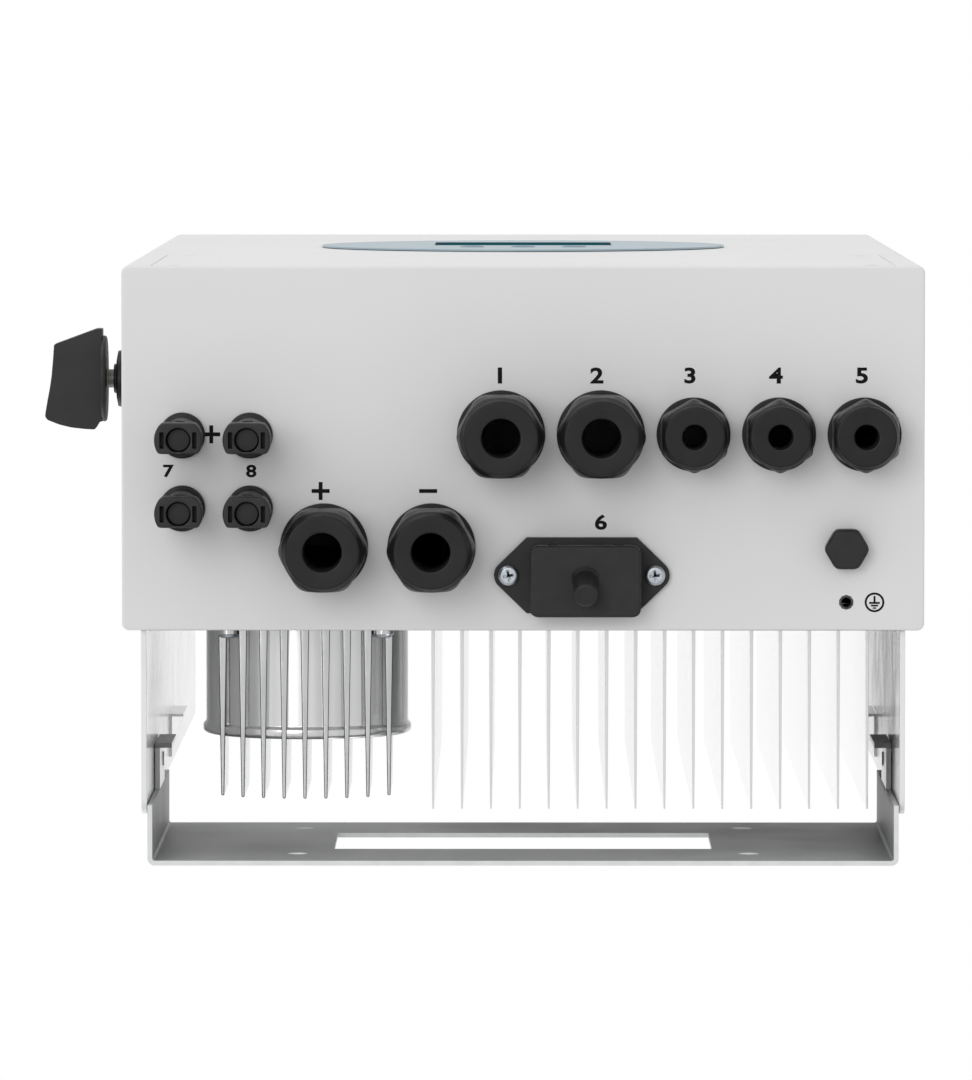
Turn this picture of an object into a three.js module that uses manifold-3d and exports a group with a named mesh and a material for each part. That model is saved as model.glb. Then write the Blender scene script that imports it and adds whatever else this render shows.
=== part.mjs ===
// A wall-hung solar inverter: a sheet-metal housing with its connectors underneath,
// a heat sink and a potted choke behind, and the wall bracket that it hangs on.
// Millimetres, +Z up, the front face towards -Y. The origin is on the rear face of the
// bracket, on the centreline, at the height of the lower row of wall bolts.

import * as THREE from 'three';
import { mergeVertices } from 'three/addons/utils/BufferGeometryUtils.js';
import Module from 'manifold-3d';

const wasm = await Module();
wasm.setup();

// Clearances and cutting values
const seatGap = 0.3;
const holeGap = 0.3;
const slideGap = 0.4;
const overrun = 1;
const weldTolerance = 0.0001;
const roundSteps = 16;
const smallSteps = 10;
const chokeSteps = 24;
const displaySteps = 36;
const connectorSteps = 12;
const cornerSteps = 3;

// Housing
const housingWidth = 330;
const housingHeight = 580;
const housingDepth = 150;
const housingSheet = 1.5;
const housingBend = 3;
const housingEdgeRound = 1.2;
const wallGap = 97;

// Wiring compartment and its cover
const coverSideLip = 12.2;
const coverBottomLip = 2.5;
const coverHeight = 175.7;
const coverSheet = 1.6;
const coverCorner = 3;
const gasketThickness = 1.7;
const gasketWidth = 4;
const ledgeWidth = 13;
const ledgeSheet = 2;
const coverScrewInset = 9;
const coverScrewHead = 7;
const coverScrewHeadHeight = 1.4;
const coverScrewShank = 3.4;
const coverScrewLength = 11;
const partitionSheet = 1.5;
const partitionRise = 6;
const partitionCableSlotWidth = 120;
const partitionCableSlotDepth = 24;

// Display
const displayDiameter = 179;
const displayHeightShare = 0.56;
const displaySheet = 0.8;
const lcdWidth = 78;
const lcdHeight = 60;
const lcdRise = 20;
const lcdRecess = 0.2;
const buttonCount = 3;
const buttonDiameter = 11;
const buttonPitch = 22.5;
const buttonDrop = 42;
const buttonProud = 0.6;
const buttonTravel = 1;
const buttonFlange = 14;
const buttonFlangeSheet = 1;
const buttonStem = 4;
const displayBoardWidth = 140;
const displayBoardHeight = 140;
const displayBoardSheet = 1.6;
const displayBoardDepth = 12;
const displayPost = 6;
const displayPostInset = 6;
const switchSize = 6;
const switchHeight = 1.4;

// Wall bracket
const bracketSheet = 2;
const bracketBend = 3;
const bracketHeight = 184;
const bracketArmReach = 24.8;
const bracketSlotWidth = 157.8;
const bracketSlotBottom = 55.6;
const bracketSlotTopMargin = 52.1;
const boltHole = 8.5;
const boltSpacing = 187.4;
const boltRowLow = 34;
const boltRowTopMargin = 28;
const hookReach = 44.2;
const hookLip = 5;
const hookHeight = 50;
const hookTopMargin = 52;
const notchWidth = 7;
const notchDepth = 20;
const notchFromFront = 9;

// Side plates and the pins that hang in the bracket
const sidePlateSheet = 2.3;
const sidePlateInset = 7.6;
const sidePlateReach = 76.4;
const sidePlateBottom = 5;
const sidePlateTopMargin = 10;
const sidePlateCorner = 6;
const sideFlangeWidth = 8;
const sideFlangeMargin = 35;
const pinDiameter = 6;
const pinProud = 0.5;
const upperHookBottom = 247;
const upperHookSheet = 1.2;
const upperHookLength = 18.8;

// Heat sink
const finRoot = 1.5;
const finTip = 0.8;
const finPitch = 12;
const finReach = 76;
const finRightMargin = 22.3;
const finLeftMargin = 10.7;
const heatSinkBottom = 30;
const heatSinkHeight = 370;
const heatSinkBase = 8;
const heatSinkSideMargin = 7.8;
const windowMargin = 1;
const sinkPost = 8;
const sinkPostLength = 32;

// Potted choke
const chokeFromLeft = 74.5;
const chokeCentreHeight = 75;
const chokeRadius = 42.3;
const chokeWall = 3.5;
const chokeLength = 47.5;
const chokeFloor = 4;
const chokeRim = 1.3;
const chokeRimLength = 4;
const chokeFinCount = 9;
const chokeFinPitch = 8.66;
const chokeFinRoot = 3.6;
const chokeFinTip = 1.3;
const chokeFinReach = 72;
const chokeFinCircle = 44.5;
const lugDiameter = 9;
const lugThickness = 4.5;
const lugHole = 4;
const lugCircle = 45.5;
const lugCount = 4;
const toroidWidth = 18;
const toroidLength = 34;

// Cable glands
const largeGlandFlats = 33.5;
const largeGlandFlange = 36.3;
const largeGlandThread = 25;
const largeGlandBore = 15.8;
const largeGlandReach = 40;
const smallGlandFlats = 27;
const smallGlandFlange = 30.4;
const smallGlandThread = 20;
const smallGlandBore = 10;
const smallGlandReach = 29;
const glandFlangeSheet = 2.7;
const glandInside = 12;
const glandHexShare = 0.18;
const glandThreadStep = 0.7;
const glandSealWall = 3.1;
const glandEndWall = 4;
const glandChamferShare = 0.12;
const glandThreadShare = 0.62;
const hexagonSides = 6;

// Rows of glands along the bottom face
const portRowShare = 0.461;
const portFromRight = 24.8;
const portSpace = 4.7;
const batteryRowShare = 0.771;
const batteryFromLeft = 83.2;
const batterySpace = 7.9;

// Solar connectors
const solarFromLeft = 25;
const solarPitchX = 27.8;
const solarRowShare = 0.464;
const solarPitchDepth = 30;
const solarFlange = 18.9;
const solarFlangeSheet = 4;
const solarBarrel = 15;
const solarReach = 48;
const solarBlockWidth = 19.6;
const solarBlockFront = 7;
const solarBlockRear = 5.6;
const solarBlockLength = 14;
const solarBore = 9.9;
const solarBoreDepth = 30;
const solarSlotWidth = 1.8;
const solarSlotLength = 6.7;
const solarSlotDepth = 6;
const solarSlotOffset = 6.65;
const solarThread = 13;
const solarInside = 16;

// Data port
const dataRowShare = 0.847;
const dataSpace = 7.5;
const dataFlangeTop = 45.3;
const dataFlangeHalf = 15.6;
const dataFlangeSheet = 3;
const dataScrewSpacing = 60.2;
const dataTipRadius = 6;
const dataShellWidth = 34;
const dataShellDepth = 18;
const dataShellReach = 9;
const dataShellWall = 2;
const dataShellInside = 8;
const dataCapWidth = 45.6;
const dataCapDepth = 29.4;
const dataCapReach = 13;
const dataCapCorner = 3;
const dataCapShiftX = 1.4;
const dataCapShiftY = 1.8;
const dataCapRoof = 3;
const dataNotchWidth = 4;
const dataNotchDepth = 2;
const dataNotchSpacing = 27;
const dataStub = 10;
const dataStubLength = 16;
const dataStubLean = 18;
const dataStubRound = 1.2;
const dataScrewHead = 8.5;
const dataScrewHeadHeight = 2.6;
const dataScrewShank = 3.6;
const dataScrewInside = 7;
const crossLength = 4.6;
const crossWidth = 1;
const crossDepth = 1.2;

// Vent plug and earth point
const ventFromRight = 32.1;
const ventRowShare = 0.774;
const ventFlats = 16.4;
const ventReach = 9;
const ventCornerStep = 0.75;
const ventChamfer = 1;
const ventThread = 12;
const ventInside = 10;
const earthRowShare = 0.922;
const earthBush = 5.5;
const earthBore = 4;
const earthHead = 9;
const earthHeadHeight = 3;
const earthProud = 0.2;

// Rotary isolator switch on the left side
const switchRowShare = 0.327;
const switchCentreHeight = 75;
const switchBodySize = 42;
const switchBodyLength = 38;
const bushingDiameter = 12.3;
const bushingReach = 6.3;
const collarDiameter = 23.6;
const collarThickness = 5.1;
const collarTaper = 0.6;
const collarFace = 1.7;
const spindleDiameter = 7.7;
const spindleInside = 12;
const spindleInKnob = 12;
const knobStandOff = 9.2;
const knobDisc = 36;
const knobDiscSheet = 2.1;
const gripLength = 42.4;
const gripThickness = 13;
const gripHeight = 24;
const knobDiscEdge = 1;
// Outline of the grip seen from below: shares of its half length and of its height
const gripShares = [
  [-0.85, 0], [-0.99, 0], [-0.99, 0.1], [-0.68, 0.84], [-0.36, 0.86], [-0.05, 0.885],
  [0.18, 0.915], [0.42, 0.955], [0.65, 0.99], [0.74, 1], [0.81, 0.96], [0.905, 0.745],
  [0.96, 0.54], [0.99, 0.31], [1, 0.13], [0.845, 0.05], [0.845, 0],
];

// Boards and blocks inside
const powerBoardBottomMargin = 10;
const powerBoardHeight = 206;
const powerBoardSideMargin = 6;
const boardSheet = 1.6;
const capacitorDiameter = 35;
const capacitorLength = 50;
const capacitorCount = 4;
const capacitorPitch = 42;
const capacitorHolder = 6;
const controlBoardWidth = 84;
const controlBoardHeight = 180;
const controlBoardBottomMargin = 20;
const controlBoardFromLeft = 14;
const controlPost = 7;
const controlPostLength = 10;
const terminalBlockWidth = 96;
const terminalBlockHeight = 40;
const terminalBlockDepth = 30;
const terminalBlockBottomMargin = 66;
const terminalCount = 9;
const terminalHole = 6;
const terminalHoleDepth = 20;
const batteryBlockWidth = 84;
const batteryBlockHeight = 30;
const batteryBlockDepth = 24;
const batteryBlockRise = 10;
const batteryStud = 8;
const batteryStudLength = 16;
const batteryStudShares = [0.25, 0.75];

// Places that several pieces share
const rearInner = -housingSheet;
const frontFace = -housingDepth;
const sideInner = housingWidth / 2 - housingSheet;
const coverHalfWidth = housingWidth / 2 - coverSideLip;
const coverTop = coverBottomLip + coverHeight;
const ledgeFront = frontFace + coverSheet + gasketThickness + 2 * seatGap;
const ledgeRear = ledgeFront + ledgeSheet;
const ledgeTop = coverTop + seatGap + ledgeSheet;
const partitionBottom = ledgeTop + partitionRise;
const displayCentre = housingHeight * displayHeightShare;
const sidePlateOuter = housingWidth / 2 - sidePlateInset;
const sidePlateInner = sidePlateOuter - sidePlateSheet;
const armOuter = sidePlateInner - slideGap;
const armInner = armOuter - bracketSheet;
const boltRowHigh = bracketHeight - boltRowTopMargin;
const hookBottom = bracketHeight - hookTopMargin - hookHeight;
const lastFin = housingWidth / 2 - finRightMargin;
const chokeX = chokeFromLeft - housingWidth / 2;
const finCount = 1 + Math.floor((lastFin - chokeX - chokeRadius - finLeftMargin) / finPitch);
const firstFin = lastFin - (finCount - 1) * finPitch;
const sinkLeft = firstFin - heatSinkSideMargin;
const sinkRight = lastFin + heatSinkSideMargin;
const sinkRear = rearInner - seatGap;
const sinkFront = sinkRear - heatSinkBase;
const sinkTop = heatSinkBottom + heatSinkHeight;
const notchFront = -hookReach + notchFromFront;
const pinHeight = hookBottom + hookHeight - notchDepth + pinDiameter / 2 + seatGap;
const pinY = wallGap + notchFront;

const depthAt = (share) => frontFace + housingDepth * share;

// Materials
function material(color, roughness, metalness) {
  return new THREE.MeshStandardMaterial({ color, roughness, metalness });
}
const powderCoat = material('#dcdddd', 0.55, 0);
const bracketCoat = material('#b9babb', 0.5, 0.2);
const finAluminium = material('#e8e9ea', 0.4, 0.8);
const castAluminium = material('#c9cacb', 0.25, 0.9);
const blackNylon = material('#353535', 0.5, 0);
const blackRubber = material('#151515', 0.8, 0);
const panelFilm = material('#8fa3ae', 0.4, 0);
const displayGlass = material('#1f5560', 0.15, 0);
const zincSteel = material('#c4c8cc', 0.35, 0.9);
const boardGreen = material('#2f6b45', 0.5, 0);
const copperWire = material('#a8643a', 0.4, 0.6);
const capacitorSleeve = material('#20242c', 0.45, 0);
const terminalPlastic = material('#3f5f4c', 0.5, 0);

// Turns closed surfaces into solids, with the triangles turned outwards
function solid(geometry) {
  const bare = geometry.clone();
  bare.deleteAttribute('normal');
  bare.deleteAttribute('uv');
  const merged = mergeVertices(bare, weldTolerance);
  const places = merged.getAttribute('position').array;
  const corners = merged.getIndex().array;
  const kept = [];
  let volume = 0;
  const a = new THREE.Vector3();
  const b = new THREE.Vector3();
  const c = new THREE.Vector3();
  for (let i = 0; i < corners.length; i += 3) {
    const [p, q, r] = [corners[i], corners[i + 1], corners[i + 2]];
    if (p === q || q === r || r === p) continue;
    kept.push(p, q, r);
    a.fromArray(places, 3 * p);
    b.fromArray(places, 3 * q);
    c.fromArray(places, 3 * r);
    volume += a.dot(b.cross(c));
  }
  const triVerts = new Uint32Array(volume < 0 ? kept.reverse() : kept);
  const vertProperties = new Float32Array(places);
  return new wasm.Manifold(new wasm.Mesh({ numProp: 3, vertProperties, triVerts }));
}

function join(...solids) {
  return solids.reduce((whole, next) => whole.add(next));
}

function cut(body, ...cutters) {
  return cutters.reduce((whole, next) => whole.subtract(next), body);
}

// A block between two opposite corners
function block([x0, y0, z0], [x1, y1, z1]) {
  const box = new THREE.BoxGeometry(x1 - x0, y1 - y0, z1 - z0);
  box.translate((x0 + x1) / 2, (y0 + y1) / 2, (z0 + z1) / 2);
  return solid(box);
}

// A flat shape drawn in X and Y, made thick along Z
function prism(shape, zLow, zHigh) {
  const options = { depth: zHigh - zLow, bevelEnabled: false, curveSegments: cornerSteps };
  return solid(new THREE.ExtrudeGeometry(shape, options).translate(0, 0, zLow));
}

// A flat shape drawn in X and Z, made thick along Y
function slab(shape, yFront, yRear) {
  const options = { depth: yRear - yFront, bevelEnabled: false, curveSegments: cornerSteps };
  const geometry = new THREE.ExtrudeGeometry(shape, options);
  geometry.rotateX(Math.PI / 2).translate(0, yRear, 0);
  return solid(geometry);
}

// A profile of [radius, height] points turned about Y; a ring profile closes on itself
function lathed(profile, steps) {
  const points = profile.map(([radius, height]) => new THREE.Vector2(radius, height));
  const onAxis = points[0].x === 0 && points[points.length - 1].x === 0;
  if (!onAxis) points.push(points[0].clone());
  return new THREE.LatheGeometry(points, steps);
}

// A turned piece that stands along Z, its heights counted upwards
function turned(profile, x, y, steps = roundSteps) {
  return solid(lathed(profile, steps).rotateX(Math.PI / 2).translate(x, y, 0));
}

// A turned piece that lies along Y, its heights counted towards the wall
function turnedAlongY(profile, x, z, steps = roundSteps) {
  return solid(lathed(profile, steps).translate(x, 0, z));
}

// A turned piece that lies along X, its heights counted towards the left side
function turnedAlongLeft(profile, y, z, steps = roundSteps) {
  return solid(lathed(profile, steps).rotateZ(Math.PI / 2).translate(0, y, z));
}

function rod(radius, zLow, zHigh, x, y, steps = roundSteps) {
  return turned([[0, zLow], [radius, zLow], [radius, zHigh], [0, zHigh]], x, y, steps);
}

function rodAlongY(radius, yFront, yRear, x, z, steps = roundSteps) {
  return turnedAlongY([[0, yFront], [radius, yFront], [radius, yRear], [0, yRear]], x, z, steps);
}

function rodAlongLeft(radius, reachLow, reachHigh, y, z, steps = roundSteps) {
  const profile = [[0, reachLow], [radius, reachLow], [radius, reachHigh], [0, reachHigh]];
  return turnedAlongLeft(profile, y, z, steps);
}

// A rectangle about a centre, with rounded corners
function roundedRectangle(width, height, radius, x = 0, y = 0) {
  const right = x + width / 2;
  const left = x - width / 2;
  const top = y + height / 2;
  const bottom = y - height / 2;
  const shape = new THREE.Shape();
  shape.moveTo(left + radius, bottom);
  shape.lineTo(right - radius, bottom);
  shape.absarc(right - radius, bottom + radius, radius, -Math.PI / 2, 0);
  shape.lineTo(right, top - radius);
  shape.absarc(right - radius, top - radius, radius, 0, Math.PI / 2);
  shape.lineTo(left + radius, top);
  shape.absarc(left + radius, top - radius, radius, Math.PI / 2, Math.PI);
  shape.lineTo(left, bottom + radius);
  shape.absarc(left + radius, bottom + radius, radius, Math.PI, 1.5 * Math.PI);
  return shape;
}

// A hexagon with a corner towards the given angle
function hexagon(acrossFlats, cornerAngle, x, y) {
  const radius = acrossFlats / 2 / Math.cos(Math.PI / hexagonSides);
  const shape = new THREE.Shape();
  for (let i = 0; i < hexagonSides; i += 1) {
    const angle = cornerAngle + (i * 2 * Math.PI) / hexagonSides;
    const [px, py] = [x + radius * Math.cos(angle), y + radius * Math.sin(angle)];
    if (i === 0) shape.moveTo(px, py);
    else shape.lineTo(px, py);
  }
  shape.closePath();
  return shape;
}

function surfaceOf(body) {
  const mesh = body.getMesh();
  const geometry = new THREE.BufferGeometry();
  geometry.setAttribute('position', new THREE.BufferAttribute(mesh.vertProperties, 3));
  geometry.setIndex(new THREE.BufferAttribute(mesh.triVerts, 1));
  return geometry;
}

// The same solid on the other side of the centreline
function mirrored(body) {
  return solid(surfaceOf(body).scale(-1, 1, 1));
}

function piece(group, name, body, look) {
  const geometry = surfaceOf(body);
  geometry.computeVertexNormals();
  const result = new THREE.Mesh(geometry, look);
  result.name = name;
  group.add(result);
}

// Wall bracket, in its own frame: the wall is at y = 0 and its lower edge at z = 0
function bracketOutline() {
  const inner = Math.max(bracketBend - bracketSheet, bracketBend / 4);
  const shape = new THREE.Shape();
  shape.moveTo(-armOuter, -bracketArmReach);
  shape.lineTo(-armInner, -bracketArmReach);
  shape.lineTo(-armInner, -bracketSheet - inner);
  shape.absarc(-armInner + inner, -bracketSheet - inner, inner, Math.PI, Math.PI / 2, true);
  shape.lineTo(armInner - inner, -bracketSheet);
  shape.absarc(armInner - inner, -bracketSheet - inner, inner, Math.PI / 2, 0, true);
  shape.lineTo(armInner, -bracketArmReach);
  shape.lineTo(armOuter, -bracketArmReach);
  shape.lineTo(armOuter, -bracketBend);
  shape.absarc(armOuter - bracketBend, -bracketBend, bracketBend, 0, Math.PI / 2);
  shape.lineTo(-armOuter + bracketBend, 0);
  shape.absarc(-armOuter + bracketBend, -bracketBend, bracketBend, Math.PI / 2, Math.PI);
  shape.closePath();
  return shape;
}

// The hook of the right arm: a tab with a lip turned inwards and a notch for a hanging pin
function bracketHook() {
  const top = hookBottom + hookHeight;
  const tab = block([armInner, -hookReach, hookBottom], [armOuter, -bracketSheet, top]);
  const lip = block([armInner - hookLip, -hookReach, hookBottom],
    [armOuter, -hookReach + bracketSheet, top]);
  const radius = notchWidth / 2;
  const floor = top - notchDepth + radius;
  const slot = block([armInner - overrun, notchFront - radius, floor],
    [armOuter + overrun, notchFront + radius, top + overrun]);
  const round = rodAlongLeft(radius, -armOuter - overrun, -armInner + overrun, notchFront, floor,
    connectorSteps);
  return cut(join(tab, lip), slot, round);
}

function wallBracket() {
  const sheet = prism(bracketOutline(), 0, bracketHeight);
  const hook = bracketHook();
  const slot = block([-bracketSlotWidth / 2, -bracketSheet - overrun, bracketSlotBottom],
    [bracketSlotWidth / 2, overrun, bracketHeight - bracketSlotTopMargin]);
  const holes = [];
  for (const x of [-boltSpacing / 2, boltSpacing / 2]) {
    for (const z of [boltRowLow, boltRowHigh]) {
      holes.push(rodAlongY(boltHole / 2, -bracketSheet - overrun, overrun, x, z, connectorSteps));
    }
  }
  return cut(join(sheet, hook, mirrored(hook)), slot, ...holes);
}

// The two sizes of cable gland
const largeGland = {
  flats: largeGlandFlats,
  flange: largeGlandFlange,
  thread: largeGlandThread,
  bore: largeGlandBore,
  reach: largeGlandReach,
  cornerAngle: 0,
};
const smallGland = {
  flats: smallGlandFlats,
  flange: smallGlandFlange,
  thread: smallGlandThread,
  bore: smallGlandBore,
  reach: smallGlandReach,
  cornerAngle: Math.PI / 2,
};

// Each gland as [name, x, y, size], counted from the middle of the housing's rear lower edge
function glandPlaces() {
  const places = [];
  const sizes = [smallGland, smallGland, smallGland, largeGland, largeGland];
  let x = housingWidth / 2 - portFromRight;
  sizes.forEach((size, i) => {
    if (i > 0) x -= (sizes[i - 1].flange + size.flange) / 2 + portSpace;
    places.unshift([`port_${sizes.length - i}`, x, depthAt(portRowShare), size]);
  });
  const plusX = batteryFromLeft - housingWidth / 2;
  const minusX = plusX + largeGlandFlange + batterySpace;
  places.push(['battery_plus', plusX, depthAt(batteryRowShare), largeGland]);
  places.push(['battery_minus', minusX, depthAt(batteryRowShare), largeGland]);
  return places;
}
const glands = glandPlaces();

// Heights of a gland, counted up from the bottom face
function glandLevels(size) {
  const hexTop = -seatGap - glandFlangeSheet;
  const hexBottom = hexTop - size.reach * glandHexShare;
  const nutTop = hexBottom - seatGap;
  const threadBottom = -size.reach * glandThreadShare;
  const nutFloor = -size.reach + glandEndWall;
  return { hexTop, hexBottom, nutTop, threadBottom, nutFloor };
}

function glandRadii(size) {
  const thread = size.thread / 2 + glandThreadStep;
  const seal = size.bore / 2 + glandSealWall;
  return { thread, seal, pocket: seal + holeGap };
}

function glandBody(x, y, size) {
  const level = glandLevels(size);
  const { thread, pocket } = glandRadii(size);
  const bore = size.bore / 2 + holeGap;
  const tube = turned([
    [bore, glandInside], [size.thread / 2, glandInside], [size.thread / 2, -seatGap],
    [size.flange / 2, -seatGap], [size.flange / 2, level.hexTop], [thread, level.hexTop],
    [thread, level.threadBottom], [pocket, level.threadBottom], [pocket, level.hexTop],
    [bore, level.hexTop],
  ], x, y);
  const hex = prism(hexagon(size.flats, size.cornerAngle, x, y), level.hexBottom, level.hexTop);
  const rounded = rod(size.flange / 2, level.hexBottom - overrun, level.hexTop + overrun, x, y);
  const ringed = cut(hex.intersect(rounded), rod(pocket, level.hexBottom - overrun,
    level.hexTop + overrun, x, y));
  return join(tube, ringed);
}

function glandSeal(x, y, size) {
  const level = glandLevels(size);
  const { seal } = glandRadii(size);
  const top = level.hexTop - seatGap;
  const bottom = level.nutFloor + seatGap;
  return turned([[size.bore / 2, bottom], [seal, bottom], [seal, top], [size.bore / 2, top]], x, y);
}

function glandNut(x, y, size) {
  const level = glandLevels(size);
  const inner = glandRadii(size).thread + holeGap;
  const corner = size.flange / 2;
  const chamfer = size.reach * glandChamferShare;
  const end = size.flats / 2 - chamfer / 3;
  const hex = prism(hexagon(size.flats, size.cornerAngle, x, y), -size.reach, level.nutTop);
  const envelope = turned([
    [0, -size.reach], [end, -size.reach], [size.flats / 2, -size.reach + chamfer / 2],
    [corner, -size.reach + 2 * chamfer], [corner, level.nutTop], [0, level.nutTop],
  ], x, y);
  const hollow = turned([
    [0, level.nutFloor], [inner, level.nutFloor], [inner, level.nutTop + overrun],
    [0, level.nutTop + overrun],
  ], x, y);
  const bore = rod(size.bore / 2, -size.reach - overrun, level.nutFloor + overrun, x, y);
  return cut(hex.intersect(envelope), hollow, bore);
}

// Each solar connector as [name, x, y], in two columns of two
function solarPlaces() {
  const places = [];
  for (let row = 0; row < 2; row += 1) {
    for (let column = 0; column < 2; column += 1) {
      const x = solarFromLeft - housingWidth / 2 + column * solarPitchX;
      const y = depthAt(solarRowShare) + row * solarPitchDepth;
      places.push([`solar_connector_${2 * row + column + 1}`, x, y]);
    }
  }
  return places;
}
const solarConnectors = solarPlaces();

function solarConnector(x, y) {
  const barrel = turned([
    [0, -solarReach], [solarBarrel / 2, -solarReach], [solarBarrel / 2, -solarFlangeSheet],
    [solarFlange / 2, -solarFlangeSheet], [solarFlange / 2, -seatGap], [solarThread / 2, -seatGap],
    [solarThread / 2, solarInside], [0, solarInside],
  ], x, y, connectorSteps);
  const disc = rod(solarBlockWidth / 2, -solarReach, -solarReach + solarBlockLength, x, y,
    connectorSteps);
  const flats = block([x - solarBlockWidth, y - solarBlockFront, -solarReach - overrun],
    [x + solarBlockWidth, y + solarBlockRear, overrun]);
  const bore = rod(solarBore / 2, -solarReach - overrun, -solarReach + solarBoreDepth, x, y,
    connectorSteps);
  const slots = [-solarSlotOffset, solarSlotOffset].map((offset) => block(
    [x + offset - solarSlotWidth / 2, y - solarSlotLength / 2, -solarReach - overrun],
    [x + offset + solarSlotWidth / 2, y + solarSlotLength / 2, -solarReach + solarSlotDepth]));
  return cut(join(barrel, disc.intersect(flats)), bore, ...slots);
}

// Data port: a flange on two screws, a shell that the plug goes over, and a cap with a stub
const dataX = glands[glands.length - 1][1] + largeGlandFlange / 2 + dataSpace
  + dataScrewSpacing / 2 + dataTipRadius;
const dataY = depthAt(dataRowShare);
const dataCapX = dataX + dataCapShiftX;
const dataCapY = dataY + dataCapShiftY;
const dataCapTop = -2 * seatGap - dataFlangeSheet;

function dataFlangeOutline() {
  const half = dataFlangeTop / 2;
  const screw = dataScrewSpacing / 2;
  const shape = new THREE.Shape();
  shape.moveTo(dataX - half, dataY - dataFlangeHalf);
  shape.lineTo(dataX + half, dataY - dataFlangeHalf);
  shape.absarc(dataX + screw, dataY, dataTipRadius, -Math.PI / 4, Math.PI / 4);
  shape.lineTo(dataX + half, dataY + dataFlangeHalf);
  shape.lineTo(dataX - half, dataY + dataFlangeHalf);
  shape.absarc(dataX - screw, dataY, dataTipRadius, 0.75 * Math.PI, 1.25 * Math.PI);
  shape.closePath();
  return shape;
}

function dataPortFlange() {
  const plateBottom = -seatGap - dataFlangeSheet;
  const plate = prism(dataFlangeOutline(), plateBottom, -seatGap);
  const shellBottom = plateBottom - dataShellReach;
  const shell = prism(roundedRectangle(dataShellWidth, dataShellDepth, dataShellWall, dataCapX,
    dataCapY), shellBottom, dataShellInside);
  const socket = prism(roundedRectangle(dataShellWidth - 2 * dataShellWall,
    dataShellDepth - 2 * dataShellWall, dataShellWall / 2, dataCapX, dataCapY),
  shellBottom - overrun, plateBottom);
  const holes = [-1, 1].map((side) => rod(dataScrewShank / 2 + holeGap, plateBottom - overrun,
    overrun, dataX + (side * dataScrewSpacing) / 2, dataY, smallSteps));
  return cut(join(plate, shell), socket, ...holes);
}

function dataPortScrew(side) {
  const x = dataX + (side * dataScrewSpacing) / 2;
  const seat = dataCapTop;
  const face = seat - dataScrewHeadHeight;
  const screw = turned([
    [0, face], [dataScrewHead / 3, face], [dataScrewHead / 2, seat - dataScrewHeadHeight / 3],
    [dataScrewHead / 2, seat], [dataScrewShank / 2, seat], [dataScrewShank / 2, dataScrewInside],
    [0, dataScrewInside],
  ], x, dataY, smallSteps);
  const long = crossLength / 2;
  const thin = crossWidth / 2;
  const crossBottom = face - overrun;
  const crossTop = face + crossDepth;
  return cut(screw,
    block([x - long, dataY - thin, crossBottom], [x + long, dataY + thin, crossTop]),
    block([x - thin, dataY - long, crossBottom], [x + thin, dataY + long, crossTop]));
}

function dataPortCap() {
  const bottom = dataCapTop - dataCapReach;
  const cap = prism(roundedRectangle(dataCapWidth, dataCapDepth, dataCapCorner, dataCapX, dataCapY),
    bottom, dataCapTop);
  const hollow = prism(roundedRectangle(dataShellWidth + 2 * holeGap, dataShellDepth + 2 * holeGap,
    dataShellWall, dataCapX, dataCapY), bottom + dataCapRoof, dataCapTop + overrun);
  const front = dataCapY - dataCapDepth / 2;
  const notches = [-1, 1].map((side) => {
    const x = dataCapX + (side * dataNotchSpacing) / 2;
    return block([x - dataNotchWidth / 2, front - overrun, bottom + dataCapRoof],
      [x + dataNotchWidth / 2, front + dataNotchDepth, dataCapTop + overrun]);
  });
  const stubShape = [
    [0, -dataStubLength], [dataStub / 2 - dataStubRound, -dataStubLength],
    [dataStub / 2, -dataStubLength + dataStubRound], [dataStub / 2, dataCapRoof / 2],
    [0, dataCapRoof / 2],
  ];
  const stub = lathed(stubShape, roundSteps);
  stub.rotateX(Math.PI / 2 + THREE.MathUtils.degToRad(dataStubLean));
  stub.translate(dataCapX, dataCapY, bottom);
  return cut(join(cap, solid(stub)), hollow, ...notches);
}

// Vent plug and earth point near the right-hand rear corner of the bottom face
const ventX = housingWidth / 2 - ventFromRight;
const ventY = depthAt(ventRowShare);
const earthY = depthAt(earthRowShare);

function ventPlug() {
  const hex = prism(hexagon(ventFlats, 0, ventX, ventY), -ventReach, -seatGap);
  const corner = ventFlats / 2 + ventCornerStep;
  const cornerRound = turned([
    [0, -ventReach], [ventFlats / 2, -ventReach], [corner, -ventReach + ventChamfer],
    [corner, overrun], [0, overrun],
  ], ventX, ventY);
  const thread = rod(ventThread / 2, -seatGap - overrun, ventInside, ventX, ventY, connectorSteps);
  return join(hex.intersect(cornerRound), thread);
}

function earthInsert() {
  const headBottom = housingSheet + seatGap;
  const profile = [
    [earthBore / 2, -earthProud], [earthBush / 2, -earthProud], [earthBush / 2, headBottom],
    [earthHead / 2, headBottom], [earthHead / 2, headBottom + earthHeadHeight],
    [earthBore / 2, headBottom + earthHeadHeight],
  ];
  return turned(profile, ventX, earthY, smallSteps);
}

// Isolator switch, its lengths counted towards the left from the middle of the housing
const switchY = depthAt(switchRowShare);
const switchWall = housingWidth / 2;
const knobFace = switchWall + knobStandOff;

function switchBody() {
  const front = sideInner - seatGap;
  const half = switchBodySize / 2;
  const body = block([-front, switchY - half, switchCentreHeight - half],
    [-front + switchBodyLength, switchY + half, switchCentreHeight + half]);
  const bushing = rodAlongLeft(bushingDiameter / 2, front - overrun, switchWall + bushingReach,
    switchY, switchCentreHeight);
  const bore = rodAlongLeft(spindleDiameter / 2 + holeGap, front - spindleInside - seatGap,
    switchWall + bushingReach + overrun, switchY, switchCentreHeight);
  return cut(join(body, bushing), bore);
}

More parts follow.
